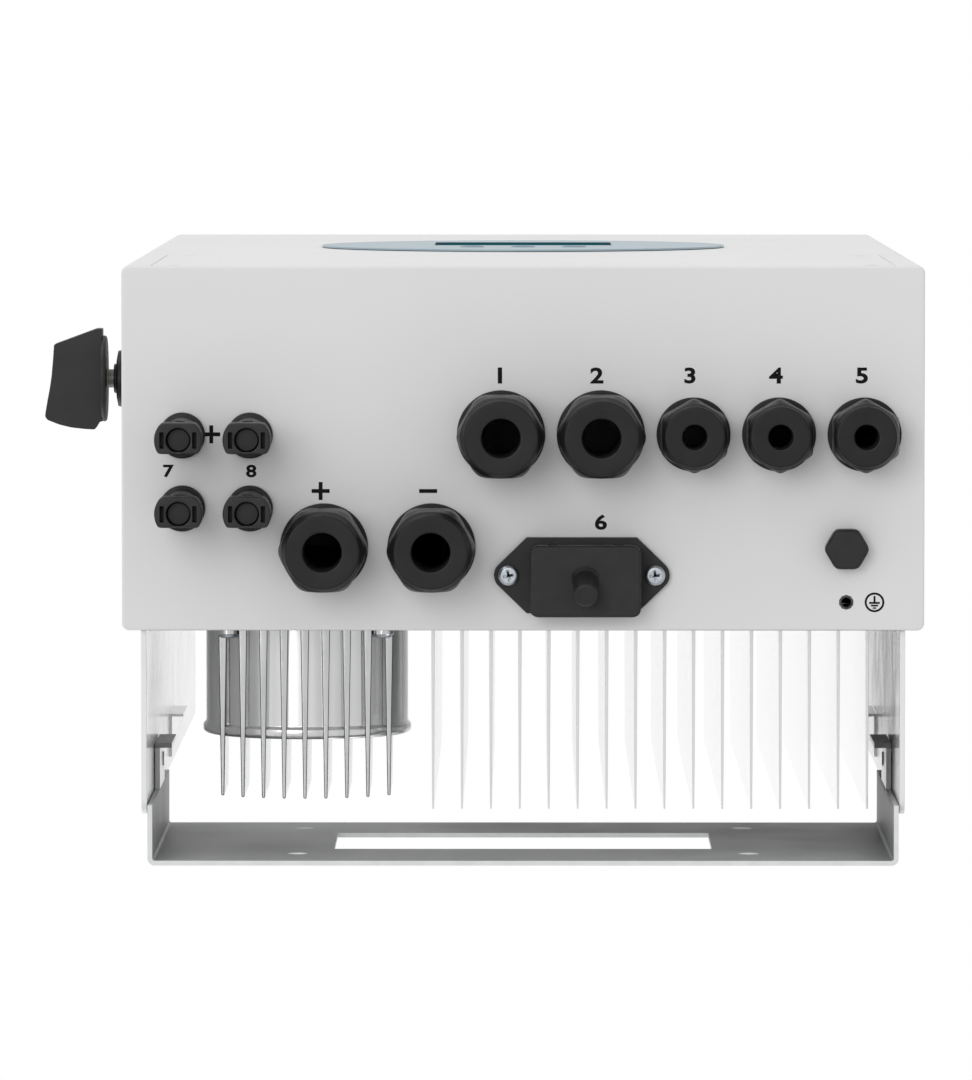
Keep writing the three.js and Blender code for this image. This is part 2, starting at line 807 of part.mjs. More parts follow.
function switchCollar() {
  const inner = bushingDiameter / 2 + holeGap;
  const low = switchWall + seatGap;
  const high = switchWall + collarThickness;
  const outer = collarDiameter / 2;
  return turnedAlongLeft([
    [inner, low], [outer, low], [outer, high - collarTaper], [inner + collarFace, high],
    [inner, high],
  ], switchY, switchCentreHeight);
}

function switchSpindle() {
  return rodAlongLeft(spindleDiameter / 2, sideInner - seatGap - spindleInside,
    knobFace + spindleInKnob, switchY, switchCentreHeight);
}

function gripOutline() {
  const disc = knobFace + knobDiscSheet;
  const shape = new THREE.Shape();
  gripShares.forEach(([along, out], i) => {
    const y = switchY + (along * gripLength) / 2;
    const x = -disc - out * gripHeight;
    if (i === 0) shape.moveTo(x, y);
    else shape.lineTo(x, y);
  });
  shape.closePath();
  return shape;
}

function switchKnob() {
  const outer = knobFace + knobDiscSheet;
  const disc = turnedAlongLeft([
    [0, knobFace], [knobDisc / 2 - knobDiscEdge, knobFace],
    [knobDisc / 2, knobFace + knobDiscEdge], [knobDisc / 2, outer], [0, outer],
  ], switchY, switchCentreHeight);
  const low = switchCentreHeight - gripThickness / 2;
  const grip = prism(gripOutline(), low, low + gripThickness);
  const root = block([-outer - knobDiscEdge, switchY - knobDisc / 4, low],
    [-knobFace - knobDiscEdge, switchY + knobDisc / 4, low + gripThickness]);
  const socket = rodAlongLeft(spindleDiameter / 2 + holeGap, knobFace - overrun,
    knobFace + spindleInKnob + seatGap, switchY, switchCentreHeight);
  return cut(join(disc, grip, root), socket);
}

// Housing: a bent shell, closed at the front, with a recess for the wiring cover
function housingShell() {
  const inset = housingEdgeRound;
  const outline = roundedRectangle(housingWidth - 2 * inset, housingDepth - 2 * inset,
    Math.max(housingBend - inset, inset), 0, -housingDepth / 2);
  const shell = new THREE.ExtrudeGeometry(outline, {
    depth: housingHeight - 2 * inset,
    bevelThickness: inset,
    bevelSize: inset,
    bevelSegments: 2,
    curveSegments: cornerSteps,
  }).translate(0, 0, inset);
  const room = block([-sideInner, frontFace + housingSheet, housingSheet],
    [sideInner, rearInner, housingHeight - housingSheet]);
  return cut(solid(shell), room);
}

function coverRecess() {
  const wide = coverHalfWidth + seatGap;
  const low = coverBottomLip - seatGap;
  const high = coverTop + seatGap;
  const tray = block([-wide - ledgeSheet, frontFace + housingSheet / 2, housingSheet / 2],
    [wide + ledgeSheet, ledgeRear, ledgeTop]);
  const recess = block([-wide, frontFace - overrun, low], [wide, ledgeFront, high]);
  const window = block([-wide + ledgeWidth, frontFace - overrun, low + ledgeWidth],
    [wide - ledgeWidth, ledgeRear + overrun, high - ledgeWidth]);
  return { tray, recess, window };
}

const coverScrews = [];
for (const z of [coverBottomLip + coverScrewInset, coverTop - coverScrewInset]) {
  for (const side of [-1, 1]) coverScrews.push([side * (coverHalfWidth - coverScrewInset), z]);
}

const displayPosts = [];
for (const side of [-1, 1]) {
  for (const end of [-1, 1]) {
    displayPosts.push([side * (displayBoardWidth / 2 - displayPostInset),
      displayCentre + end * (displayBoardHeight / 2 - displayPostInset)]);
  }
}

const buttons = [];
for (let i = 0; i < buttonCount; i += 1) {
  buttons.push([(i - (buttonCount - 1) / 2) * buttonPitch, displayCentre - buttonDrop]);
}

const controlLeft = -sideInner + controlBoardFromLeft;
const controlBottom = partitionBottom + controlBoardBottomMargin;
const controlPosts = [];
for (const x of [controlLeft + controlPost, controlLeft + controlBoardWidth - controlPost]) {
  for (const z of [controlBottom + controlPost, controlBottom + controlBoardHeight - controlPost]) {
    controlPosts.push([x, z]);
  }
}

function bottomHoles() {
  const holes = glands.map(([, x, y, size]) => [x, y, size.thread / 2, roundSteps]);
  for (const [, x, y] of solarConnectors) holes.push([x, y, solarThread / 2, connectorSteps]);
  holes.push([ventX, ventY, ventThread / 2, connectorSteps]);
  holes.push([ventX, earthY, earthBush / 2, smallSteps]);
  for (const side of [-1, 1]) {
    holes.push([dataX + (side * dataScrewSpacing) / 2, dataY, dataScrewShank / 2, smallSteps]);
  }
  return holes.map(([x, y, radius, steps]) => rod(radius + holeGap, -overrun,
    housingSheet + overrun, x, y, steps));
}

function housing() {
  const { tray, recess, window } = coverRecess();
  const posts = displayPosts.map(([x, z]) => rodAlongY(displayPost / 2,
    frontFace + housingSheet / 2, frontFace + displayBoardDepth - seatGap, x, z, smallSteps));
  const rearPosts = controlPosts.map(([x, z]) => rodAlongY(controlPost / 2,
    rearInner - controlPostLength, rearInner / 2, x, z, smallSteps));
  const solidPart = join(housingShell(), tray, ...posts, ...rearPosts);
  const lcdRight = lcdWidth / 2 + seatGap;
  const lcdBottom = displayCentre + lcdRise - lcdHeight / 2 - seatGap;
  const throughFront = frontFace - overrun;
  const behindFront = frontFace + housingSheet + overrun;
  const lcdWindow = block([-lcdRight, throughFront, lcdBottom],
    [lcdRight, behindFront, lcdBottom + lcdHeight + 2 * seatGap]);
  const buttonHoles = buttons.map(([x, z]) => rodAlongY(buttonDiameter / 2 + holeGap,
    throughFront, behindFront, x, z, connectorSteps));
  const screwHoles = coverScrews.map(([x, z]) => rodAlongY(coverScrewShank / 2 + holeGap,
    ledgeFront - overrun, ledgeRear + overrun, x, z, smallSteps));
  const sinkWindow = block([firstFin - finRoot / 2 - windowMargin, rearInner - overrun,
    heatSinkBottom - windowMargin],
  [lastFin + finRoot / 2 + windowMargin, overrun, sinkTop + windowMargin]);
  const chokeWindow = rodAlongY(chokeRadius - chokeWall, rearInner - overrun, overrun,
    chokeX, chokeCentreHeight, chokeSteps);
  const switchHole = rodAlongLeft(bushingDiameter / 2 + holeGap, sideInner - overrun,
    switchWall + overrun, switchY, switchCentreHeight);
  const dataHole = block([dataCapX - dataShellWidth / 2 - seatGap,
    dataCapY - dataShellDepth / 2 - seatGap, -overrun],
  [dataCapX + dataShellWidth / 2 + seatGap, dataCapY + dataShellDepth / 2 + seatGap,
    housingSheet + overrun]);
  return cut(solidPart, recess, window, lcdWindow, ...buttonHoles, ...screwHoles, sinkWindow,
    chokeWindow, switchHole, dataHole, ...bottomHoles());
}

// Wiring cover, its gasket and its four countersunk screws
function wiringCover() {
  const middle = (coverBottomLip + coverTop) / 2;
  const outline = roundedRectangle(2 * coverHalfWidth, coverHeight, coverCorner, 0, middle);
  const plate = slab(outline, frontFace, frontFace + coverSheet);
  const holes = coverScrews.map(([x, z]) => turnedAlongY([
    [0, frontFace - overrun], [coverScrewHead / 2 + holeGap, frontFace - overrun],
    [coverScrewHead / 2 + holeGap, frontFace],
    [coverScrewShank / 2 + holeGap, frontFace + coverScrewHeadHeight],
    [coverScrewShank / 2 + holeGap, frontFace + coverSheet + overrun],
    [0, frontFace + coverSheet + overrun],
  ], x, z, smallSteps));
  return cut(plate, ...holes);
}

function wiringCoverScrew(x, z) {
  const face = frontFace + seatGap / 3;
  return turnedAlongY([
    [0, face], [coverScrewHead / 2, face],
    [coverScrewShank / 2, face + coverScrewHeadHeight - seatGap / 2],
    [coverScrewShank / 2, face + coverScrewLength], [0, face + coverScrewLength],
  ], x, z, smallSteps);
}

function wiringCoverGasket() {
  const front = frontFace + coverSheet + seatGap;
  const rear = front + gasketThickness;
  const wide = coverHalfWidth;
  const outer = block([-wide, front, coverBottomLip], [wide, rear, coverTop]);
  const inner = block([-wide + gasketWidth, front - overrun, coverBottomLip + gasketWidth],
    [wide - gasketWidth, rear + overrun, coverTop - gasketWidth]);
  return cut(outer, inner);
}

function wiringPartition() {
  const wide = sideInner - seatGap;
  const front = frontFace + housingSheet + seatGap;
  const rear = sinkFront - seatGap;
  const top = partitionBottom + partitionSheet;
  const plate = block([-wide, front, partitionBottom], [wide, rear, top]);
  const slot = block([-partitionCableSlotWidth / 2, rear - partitionCableSlotDepth,
    partitionBottom - overrun], [partitionCableSlotWidth / 2, rear + overrun, top + overrun]);
  return cut(plate, slot);
}

// Display: a thin round panel, the screen, the buttons and the board behind them
const panelFront = frontFace - seatGap - displaySheet;

function displayPanel() {
  const disc = rodAlongY(displayDiameter / 2, panelFront, frontFace - seatGap, 0, displayCentre,
    displaySteps);
  const bottom = displayCentre + lcdRise - lcdHeight / 2 - seatGap;
  const screen = block([-lcdWidth / 2 - seatGap, panelFront - overrun, bottom],
    [lcdWidth / 2 + seatGap, frontFace + overrun, bottom + lcdHeight + 2 * seatGap]);
  const holes = buttons.map(([x, z]) => rodAlongY(buttonDiameter / 2 + holeGap,
    panelFront - overrun, frontFace + overrun, x, z, connectorSteps));
  return cut(disc, screen, ...holes);
}

function lcdModule() {
  const bottom = displayCentre + lcdRise - lcdHeight / 2;
  return block([-lcdWidth / 2, panelFront + lcdRecess, bottom],
    [lcdWidth / 2, frontFace + displayBoardDepth - seatGap, bottom + lcdHeight]);
}

function displayBoard() {
  const front = frontFace + displayBoardDepth;
  const board = block([-displayBoardWidth / 2, front, displayCentre - displayBoardHeight / 2],
    [displayBoardWidth / 2, front + displayBoardSheet, displayCentre + displayBoardHeight / 2]);
  const half = switchSize / 2;
  const keys = buttons.map(([x, z]) => block([x - half, front - switchHeight, z - half],
    [x + half, front + displayBoardSheet / 2, z + half]));
  return join(board, ...keys);
}

function button(x, z) {
  const face = panelFront - buttonProud;
  const shoulder = frontFace + housingSheet + seatGap;
  const end = frontFace + displayBoardDepth - switchHeight - buttonTravel - seatGap;
  return turnedAlongY([
    [0, face], [buttonDiameter / 2 - buttonProud, face], [buttonDiameter / 2, face + buttonProud],
    [buttonDiameter / 2, shoulder], [buttonFlange / 2, shoulder],
    [buttonFlange / 2, shoulder + buttonFlangeSheet], [buttonStem / 2, shoulder + buttonFlangeSheet],
    [buttonStem / 2, end], [0, end],
  ], x, z, connectorSteps);
}

// Heat sink: a base plate inside the rear wall, fins that pass out through its window
function heatSink() {
  const base = block([sinkLeft, sinkFront, heatSinkBottom - 2 * windowMargin],
    [sinkRight, sinkRear, sinkTop + 2 * windowMargin]);
  const fins = [];
  for (let i = 0; i < finCount; i += 1) {
    const x = firstFin + i * finPitch;
    const shape = new THREE.Shape();
    shape.moveTo(x - finRoot / 2, sinkRear - overrun);
    shape.lineTo(x + finRoot / 2, sinkRear - overrun);
    shape.lineTo(x + finTip / 2, finReach);
    shape.lineTo(x - finTip / 2, finReach);
    shape.closePath();
    fins.push(prism(shape, heatSinkBottom, sinkTop));
  }
  const posts = powerBoardPosts().map(([x, z]) => rodAlongY(sinkPost / 2,
    sinkFront - sinkPostLength, sinkFront + overrun, x, z, smallSteps));
  return join(base, ...fins, ...posts);
}

const powerBoardFront = sinkFront - sinkPostLength - seatGap - boardSheet;
const powerBoardBottom = partitionBottom + partitionSheet + powerBoardBottomMargin;

function powerBoardPosts() {
  const inset = powerBoardSideMargin + sinkPost;
  const top = Math.min(powerBoardBottom + powerBoardHeight, sinkTop) - inset;
  const places = [];
  for (const x of [sinkLeft + inset, sinkRight - inset]) {
    for (const z of [powerBoardBottom + inset, top]) places.push([x, z]);
  }
  return places;
}

function powerBoard() {
  return block([sinkLeft + powerBoardSideMargin, powerBoardFront, powerBoardBottom],
    [sinkRight - powerBoardSideMargin, powerBoardFront + boardSheet,
      powerBoardBottom + powerBoardHeight]);
}

function capacitorBank() {
  const rear = powerBoardFront - seatGap;
  const middleX = (sinkLeft + sinkRight) / 2;
  const z = powerBoardBottom + powerBoardHeight / 2;
  const span = (capacitorCount - 1) * capacitorPitch;
  const holder = block([middleX - span / 2 - capacitorDiameter / 2, rear - capacitorHolder,
    z - capacitorDiameter / 2],
  [middleX + span / 2 + capacitorDiameter / 2, rear, z + capacitorDiameter / 2]);
  const cans = [];
  for (let i = 0; i < capacitorCount; i += 1) {
    const x = middleX - span / 2 + i * capacitorPitch;
    cans.push(rodAlongY(capacitorDiameter / 2, rear - capacitorLength,
      rear - capacitorHolder / 2, x, z));
  }
  return join(holder, ...cans);
}

function controlBoard() {
  const rear = rearInner - controlPostLength - seatGap;
  return block([controlLeft, rear - boardSheet, controlBottom],
    [controlLeft + controlBoardWidth, rear, controlBottom + controlBoardHeight]);
}

function terminalBlock() {
  const rear = sinkFront - seatGap;
  const right = sinkRight - heatSinkSideMargin;
  const left = right - terminalBlockWidth;
  const bottom = terminalBlockBottomMargin;
  const body = block([left, rear - terminalBlockDepth, bottom],
    [right, rear, bottom + terminalBlockHeight]);
  const step = terminalBlockWidth / terminalCount;
  const holes = [];
  for (let i = 0; i < terminalCount; i += 1) {
    holes.push(rod(terminalHole / 2, bottom - overrun, bottom + terminalHoleDepth,
      left + (i + 0.5) * step, rear - terminalBlockDepth / 2, smallSteps));
  }
  return cut(body, ...holes);
}

function batteryBlock() {
  const rear = rearInner - seatGap;
  const right = sinkLeft - heatSinkSideMargin;
  const left = right - batteryBlockWidth;
  const bottom = chokeCentreHeight + chokeRadius + batteryBlockRise;
  const z = bottom + batteryBlockHeight / 2;
  const body = block([left, rear - batteryBlockDepth, bottom],
    [right, rear, bottom + batteryBlockHeight]);
  const studs = batteryStudShares.map((share) => rodAlongY(batteryStud / 2,
    rear - batteryBlockDepth - batteryStudLength, rear - batteryBlockDepth + overrun,
    left + batteryBlockWidth * share, z, smallSteps));
  return join(body, ...studs);
}

// Potted choke: a can with its mouth in the rear wall, straight fins over its round side
function chokePot() {
  const inner = chokeRadius - chokeWall;
  const rimOuter = chokeRadius + chokeRim;
  const rimStart = chokeLength - chokeRimLength;
  const can = turnedAlongY([
    [0, chokeLength - chokeFloor], [inner, chokeLength - chokeFloor], [inner, seatGap],
    [chokeRadius, seatGap], [chokeRadius, rimStart - chokeRim], [rimOuter, rimStart],
    [rimOuter, chokeLength - chokeRim], [chokeRadius, chokeLength], [0, chokeLength],
  ], chokeX, chokeCentreHeight, chokeSteps);
  const circle = turnedAlongY([
    [inner + chokeWall / 2, seatGap], [chokeFinCircle, seatGap], [chokeFinCircle, chokeFinReach],
    [0, chokeFinReach], [0, chokeLength - chokeFloor / 2],
    [inner + chokeWall / 2, chokeLength - chokeFloor / 2],
  ], chokeX, chokeCentreHeight, chokeSteps);
  const fins = [];
  for (let i = 0; i < chokeFinCount; i += 1) {
    const x = chokeX + (i - (chokeFinCount - 1) / 2) * chokeFinPitch;
    const shape = new THREE.Shape();
    shape.moveTo(x - chokeFinRoot / 2, seatGap);
    shape.lineTo(x + chokeFinRoot / 2, seatGap);
    shape.lineTo(x + chokeFinTip / 2, chokeFinReach);
    shape.lineTo(x - chokeFinTip / 2, chokeFinReach);
    shape.closePath();
    fins.push(prism(shape, chokeCentreHeight - chokeFinCircle, chokeCentreHeight + chokeFinCircle));
  }
  const lugs = [];
  const holes = [];
  for (let i = 0; i < lugCount; i += 1) {
    const angle = ((i + 0.5) * 2 * Math.PI) / lugCount;
    const x = chokeX + lugCircle * Math.cos(angle);
    const z = chokeCentreHeight + lugCircle * Math.sin(angle);
    lugs.push(rodAlongY(lugDiameter / 2, seatGap, lugThickness, x, z, smallSteps));
    holes.push(rodAlongY(lugHole / 2, -overrun, lugThickness + overrun, x, z, smallSteps));
  }
  return cut(join(can, ...fins.map((fin) => fin.intersect(circle)), ...lugs), ...holes);
}

function chokeToroid() {
  const outer = chokeRadius - chokeWall - seatGap;
  const rear = chokeLength - chokeFloor - seatGap;
  const front = rear - toroidLength;
  const inner = outer - toroidWidth;
  return turnedAlongY([[inner, front], [outer, front], [outer, rear], [inner, rear]],
    chokeX, chokeCentreHeight, chokeSteps);
}

// Right side plate with its flange, its upper hook strip and its hanging pin
function sidePlate() {
  const top = housingHeight - sidePlateTopMargin;
  const outline = new THREE.Shape();
  outline.moveTo(seatGap, sidePlateBottom);
  outline.lineTo(sidePlateReach - sidePlateCorner, sidePlateBottom);
  outline.absarc(sidePlateReach - sidePlateCorner, sidePlateBottom + sidePlateCorner,
    sidePlateCorner, -Math.PI / 2, 0);
  outline.lineTo(sidePlateReach, top - sidePlateCorner);
  outline.absarc(sidePlateReach - sidePlateCorner, top - sidePlateCorner, sidePlateCorner,
    0, Math.PI / 2);
  outline.lineTo(seatGap, top);
  outline.closePath();
  const options = { depth: sidePlateSheet, bevelEnabled: false, curveSegments: cornerSteps };
  const geometry = new THREE.ExtrudeGeometry(outline, options);
  geometry.rotateY(Math.PI / 2).rotateX(Math.PI / 2).translate(sidePlateInner, 0, 0);
  const plate = solid(geometry);
  const flange = block([sidePlateInner - sideFlangeWidth, seatGap, sidePlateBottom + sideFlangeMargin],
    [sidePlateInner + sidePlateSheet / 2, seatGap + sidePlateSheet, top - sideFlangeMargin]);
  const stripFront = wallGap - hookReach;
  const hookTop = upperHookBottom + hookHeight;
  const strip = block([sidePlateInner - upperHookSheet, stripFront, upperHookBottom],
    [sidePlateInner + sidePlateSheet / 2, stripFront + upperHookLength, hookTop]);
  const lip = block([sidePlateInner - upperHookSheet - hookLip, stripFront, upperHookBottom],
    [sidePlateInner, stripFront + upperHookSheet, hookTop]);
  const pin = rodAlongLeft(pinDiameter / 2, -sidePlateInner - sidePlateSheet / 2,
    -armInner + pinProud, pinY, pinHeight, connectorSteps);
  return join(plate, flange, strip, lip, pin);
}

// The whole: the bracket stands on the wall, the inverter hangs in front of it
const part = new THREE.Group();
const bracketGroup = new THREE.Group();
bracketGroup.position.set(0, 0, -boltRowLow);
const inverterGroup = new THREE.Group();
inverterGroup.position.set(0, -wallGap, -boltRowLow);
part.add(bracketGroup, inverterGroup);

piece(bracketGroup, 'wall_bracket', wallBracket(), bracketCoat);

const add = (name, body, look) => piece(inverterGroup, name, body, look);
add('housing', housing(), powderCoat);
add('heat_sink', heatSink(), finAluminium);
add('side_plate_right', sidePlate(), powderCoat);
add('side_plate_left', mirrored(sidePlate()), powderCoat);
add('choke_pot', chokePot(), castAluminium);
add('choke_toroid', chokeToroid(), copperWire);
add('display_panel', displayPanel(), panelFilm);
add('lcd_module', lcdModule(), displayGlass);
add('display_board', displayBoard(), boardGreen);
buttons.forEach(([x, z], i) => add(`button_${i + 1}`, button(x, z), panelFilm));
add('dc_switch_body', switchBody(), blackNylon);
add('dc_switch_collar', switchCollar(), blackNylon);
add('dc_switch_spindle', switchSpindle(), zincSteel);
add('dc_switch_knob', switchKnob(), blackNylon);
for (const [name, x, y] of solarConnectors) add(name, solarConnector(x, y), blackNylon);
for (const [name, x, y, size] of glands) {
  add(`${name}_gland_body`, glandBody(x, y, size), blackNylon);
  add(`${name}_gland_seal`, glandSeal(x, y, size), blackRubber);
  add(`${name}_gland_nut`, glandNut(x, y, size), blackNylon);
}
add('data_port_flange', dataPortFlange(), blackNylon);
add('data_port_screw_left', dataPortScrew(-1), zincSteel);
add('data_port_screw_right', dataPortScrew(1), zincSteel);
add('data_port_cap', dataPortCap(), blackNylon);
add('vent_plug', ventPlug(), blackNylon);
add('earth_insert', earthInsert(), zincSteel);
add('wiring_partition', wiringPartition(), powderCoat);
add('power_board', powerBoard(), boardGreen);
add('capacitor_bank', capacitorBank(), capacitorSleeve);
add('control_board', controlBoard(), boardGreen);
add('ac_terminal_block', terminalBlock(), terminalPlastic);
add('battery_terminal_block', batteryBlock(), blackNylon);
add('wiring_cover', wiringCover(), powderCoat);
add('wiring_cover_gasket', wiringCoverGasket(), blackRubber);
coverScrews.forEach(([x, z], i) => {
  add(`wiring_cover_screw_${i + 1}`, wiringCoverScrew(x, z), zincSteel);
});

export default part;
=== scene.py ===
import math
import bmesh
import bpy
from mathutils import Matrix, Vector


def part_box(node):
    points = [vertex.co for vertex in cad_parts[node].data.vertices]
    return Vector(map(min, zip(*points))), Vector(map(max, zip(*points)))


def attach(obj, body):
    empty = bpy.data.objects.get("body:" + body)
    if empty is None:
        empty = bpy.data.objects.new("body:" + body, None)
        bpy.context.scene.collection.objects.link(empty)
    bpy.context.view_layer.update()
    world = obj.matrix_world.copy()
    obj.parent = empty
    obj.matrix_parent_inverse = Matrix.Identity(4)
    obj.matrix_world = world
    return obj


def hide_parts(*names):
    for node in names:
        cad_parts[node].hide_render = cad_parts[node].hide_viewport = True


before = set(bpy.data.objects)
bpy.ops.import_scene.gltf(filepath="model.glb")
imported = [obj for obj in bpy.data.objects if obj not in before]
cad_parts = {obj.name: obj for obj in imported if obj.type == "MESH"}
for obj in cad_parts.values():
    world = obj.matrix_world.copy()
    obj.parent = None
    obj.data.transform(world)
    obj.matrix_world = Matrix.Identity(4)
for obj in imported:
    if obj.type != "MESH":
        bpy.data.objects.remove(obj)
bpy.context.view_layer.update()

# Sizes are in millimetres in the row frame and become metres where a mesh is made.
MM = 0.001
FULL_TURN = 2 * math.pi
QUARTER_TURN = math.pi / 2
scene = bpy.context.scene


# Places taken from the frame

def box_of(node):
    """The low and the high corner of a solid's box, in mm."""
    low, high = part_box(node)
    return low / MM, high / MM


def middle(node):
    low, high = box_of(node)
    return (low + high) / 2


BOTTOM = box_of("housing")[0].z
FRONT = box_of("housing")[0].y
REAR = box_of("housing")[1].y
CHOKE = (middle("choke_toroid").x, REAR, middle("choke_toroid").z)
SWITCH = middle("dc_switch_spindle")


def under(node):
    """The point of the bottom face at a solid's middle."""
    return (middle(node).x, middle(node).y, BOTTOM)


# The camera

PHOTO_SIZE = (972, 1080)
UPRIGHT_EDGES_MEET = (523.1, 30.0)
FOCAL_LENGTH_PIXELS = 9181
CAMERA_PLACE = (0, -343.65, -3802)
SENSOR = 36
NEAREST_SEEN = 0.1
FARTHEST_SEEN = 60


def place_camera():
    """Stands the camera below the object, where the photograph was taken."""
    data = bpy.data.cameras.new("camera")
    data.sensor_width = SENSOR
    data.lens = FOCAL_LENGTH_PIXELS * SENSOR / max(PHOTO_SIZE)
    data.clip_start = NEAREST_SEEN
    data.clip_end = FARTHEST_SEEN
    right_of_middle = UPRIGHT_EDGES_MEET[0] - PHOTO_SIZE[0] / 2
    above_middle = PHOTO_SIZE[1] / 2 - UPRIGHT_EDGES_MEET[1]
    forward = Vector((-right_of_middle, above_middle, FOCAL_LENGTH_PIXELS)).normalized()
    right = forward.cross(Vector((0, -1, 0))).normalized()
    up = right.cross(forward)
    camera = bpy.data.objects.new("camera", data)
    turn = Matrix((right, up, -forward)).transposed().to_4x4()
    camera.matrix_world = Matrix.Translation(Vector(CAMERA_PLACE) * MM) @ turn
    scene.collection.objects.link(camera)
    scene.camera = camera


# Nodes for materials

def linear(colour):
    """A hex colour as it is seen, turned to the linear values that the nodes read."""
    parts = [int(colour[i:i + 2], 16) / 255 for i in (1, 3, 5)]
    return [p / 12.92 if p <= 0.04045 else ((p + 0.055) / 1.055) ** 2.4 for p in parts] + [1]


def add_node(tree, kind, inputs=None, **settings):
    """Adds a node, sets it up, and fills its inputs with values or links."""
    node = tree.nodes.new(kind)
    for key, value in settings.items():
        setattr(node, key, value)
    for key, value in (inputs or {}).items():
        if isinstance(value, bpy.types.NodeSocket):
            tree.links.new(value, node.inputs[key])
        else:
            node.inputs[key].default_value = value
    return node


def new_finish(name, colour, roughness, metallic=0.0, **more):
    """A material with its plain values on the shader's own sockets."""
    material = bpy.data.materials.new(name)
    material.use_nodes = True
    tree = material.node_tree
    shader = tree.nodes["Principled BSDF"]
    shader.inputs["Base Color"].default_value = linear(colour)
    shader.inputs["Roughness"].default_value = roughness
    shader.inputs["Metallic"].default_value = metallic
    for key, value in more.items():
        shader.inputs[key.replace("_", " ")].default_value = value
    return material, tree, shader


def object_place(tree, **mapping):
    """Object coordinates, scaled or turned."""
    place = add_node(tree, "ShaderNodeTexCoord").outputs["Object"]
    return add_node(tree, "ShaderNodeMapping", {"Vector": place, **mapping}).outputs["Vector"]


def grain(tree, size, detail=2.0):
    """Noise whose grains have the given size in mm, which may differ along X, Y and Z."""
    lengths = size if isinstance(size, tuple) else (size, size, size)
    spread = object_place(tree, Scale=[1 / (length * MM) for length in lengths])
    noise = add_node(tree, "ShaderNodeTexNoise", {"Vector": spread, "Scale": 1.0, "Detail": detail})
    return noise.outputs["Fac"]


def tint(tree, shader, factor, dark, light, ends=(0.35, 0.65)):
    """Lets the base colour wander between two shades."""
    ramp = add_node(tree, "ShaderNodeValToRGB", {"Fac": factor})
    for stop, place, colour in zip(ramp.color_ramp.elements, ends, (dark, light)):
        stop.position = place
        stop.color = linear(colour)
    tree.links.new(ramp.outputs["Color"], shader.inputs["Base Color"])


def gloss(tree, shader, factor, smooth, rough):
    """Lets the roughness wander between two values."""
    spread = add_node(tree, "ShaderNodeMapRange",
                      {"Value": factor, "From Min": 0.3, "From Max": 0.7, "To Min": smooth, "To Max": rough})
    tree.links.new(spread.outputs["Result"], shader.inputs["Roughness"])


def relief(tree, shader, factor, height):
    """Raises the surface by a height in mm."""
    bump = add_node(tree, "ShaderNodeBump", {"Height": factor, "Strength": 1.0, "Distance": height * MM})
    tree.links.new(bump.outputs["Normal"], shader.inputs["Normal"])


def bricks(tree, shader, pitch, joint, colours, brick, offset):
    """Colours the surface in upright rows of bricks. The pitch is in mm, the other sizes in pitches."""
    first, second, between = (linear(colour) for colour in colours)
    pattern = add_node(tree, "ShaderNodeTexBrick",
                       {"Vector": object_place(tree, Rotation=(QUARTER_TURN, 0, 0)),
                        "Scale": 1 / (pitch * MM), "Mortar Size": joint, "Brick Width": brick[0],
                        "Row Height": brick[1], "Color1": first, "Color2": second, "Mortar": between},
                       offset=offset)
    tree.links.new(pattern.outputs["Color"], shader.inputs["Base Color"])


def finish(name, colour, roughness, metallic=0.0, *, shades, gleam=None, skin=None,
           shade_ends=(0.35, 0.65), shade_detail=2.0, **more):
    """A finish that varies over its surface. Shades are a grain size and the two colours between which
    it wanders, gleam is a grain size and two values of roughness, and skin a grain size and a height."""
    material, tree, shader = new_finish(name, colour, roughness, metallic, **more)
    size, dark, light = shades
    tint(tree, shader, grain(tree, size, shade_detail), dark, light, shade_ends)
    if gleam:
        size, smooth, rough = gleam
        gloss(tree, shader, grain(tree, size), smooth, rough)
    if skin:
        size, height = skin
        relief(tree, shader, grain(tree, size), height)
    return material


# Materials

def powder_coated_steel():
    """Sheet steel with baked powder paint: pale grey, satin, with a fine orange-peel skin."""
    return finish("powder_coated_steel", "#e0e0e0", 0.5, shades=(90, "#dfdfdf", "#e1e1e1"),
                  gleam=(25, 0.48, 0.52), skin=(1.4, 0.02))


def smooth_painted_steel():
    """The side plates' wet paint: as pale as the housing, but smoother, so it gleams seen edge on."""
    return finish("smooth_painted_steel", "#ececec", 0.16, shades=(60, "#ebebeb", "#ededed"),
                  gleam=(25, 0.13, 0.2), IOR=1.5)


def grey_painted_steel():
    """Bent bracket steel under thin grey paint: a darker satin grey, faintly clouded."""
    return finish("grey_painted_steel", "#9b9c9d", 0.45, shades=(70, "#999a9b", "#9d9e9f"),
                  gleam=(40, 0.42, 0.48), skin=(0.9, 0.002))


def bracket_edge_painted_highlight():
    """Painted highlight on the bracket's narrow cut edges: a pale colour, with fine marks of the cutter."""
    return finish("bracket_edge_painted_highlight", "#dddedf", 0.5, shades=(9, "#dadbdc", "#e1e2e2"), skin=(0.5, 0.004))


def extruded_aluminium():
    """Extruded and clear anodised fins: pale, mirroring the room edge on, with draw lines upwards."""
    return finish("extruded_aluminium", "#f4f5f5", 0.07, 0.8, shades=((0.7, 0.7, 60), "#f2f3f3", "#f7f7f7"),
                  gleam=((0.6, 0.6, 40), 0.05, 0.09))


def drawn_aluminium_can():
    """The choke's can, polished along its axis: it mirrors the room in soft upright bands."""
    return finish("drawn_aluminium_can", "#e6e6e7", 0.22, 0.85, shades=((6, 400, 6), "#dddddd", "#efefef"),
                  gleam=((2, 120, 2), 0.18, 0.25), skin=((0.5, 60, 0.5), 0.002), shade_detail=3.0)


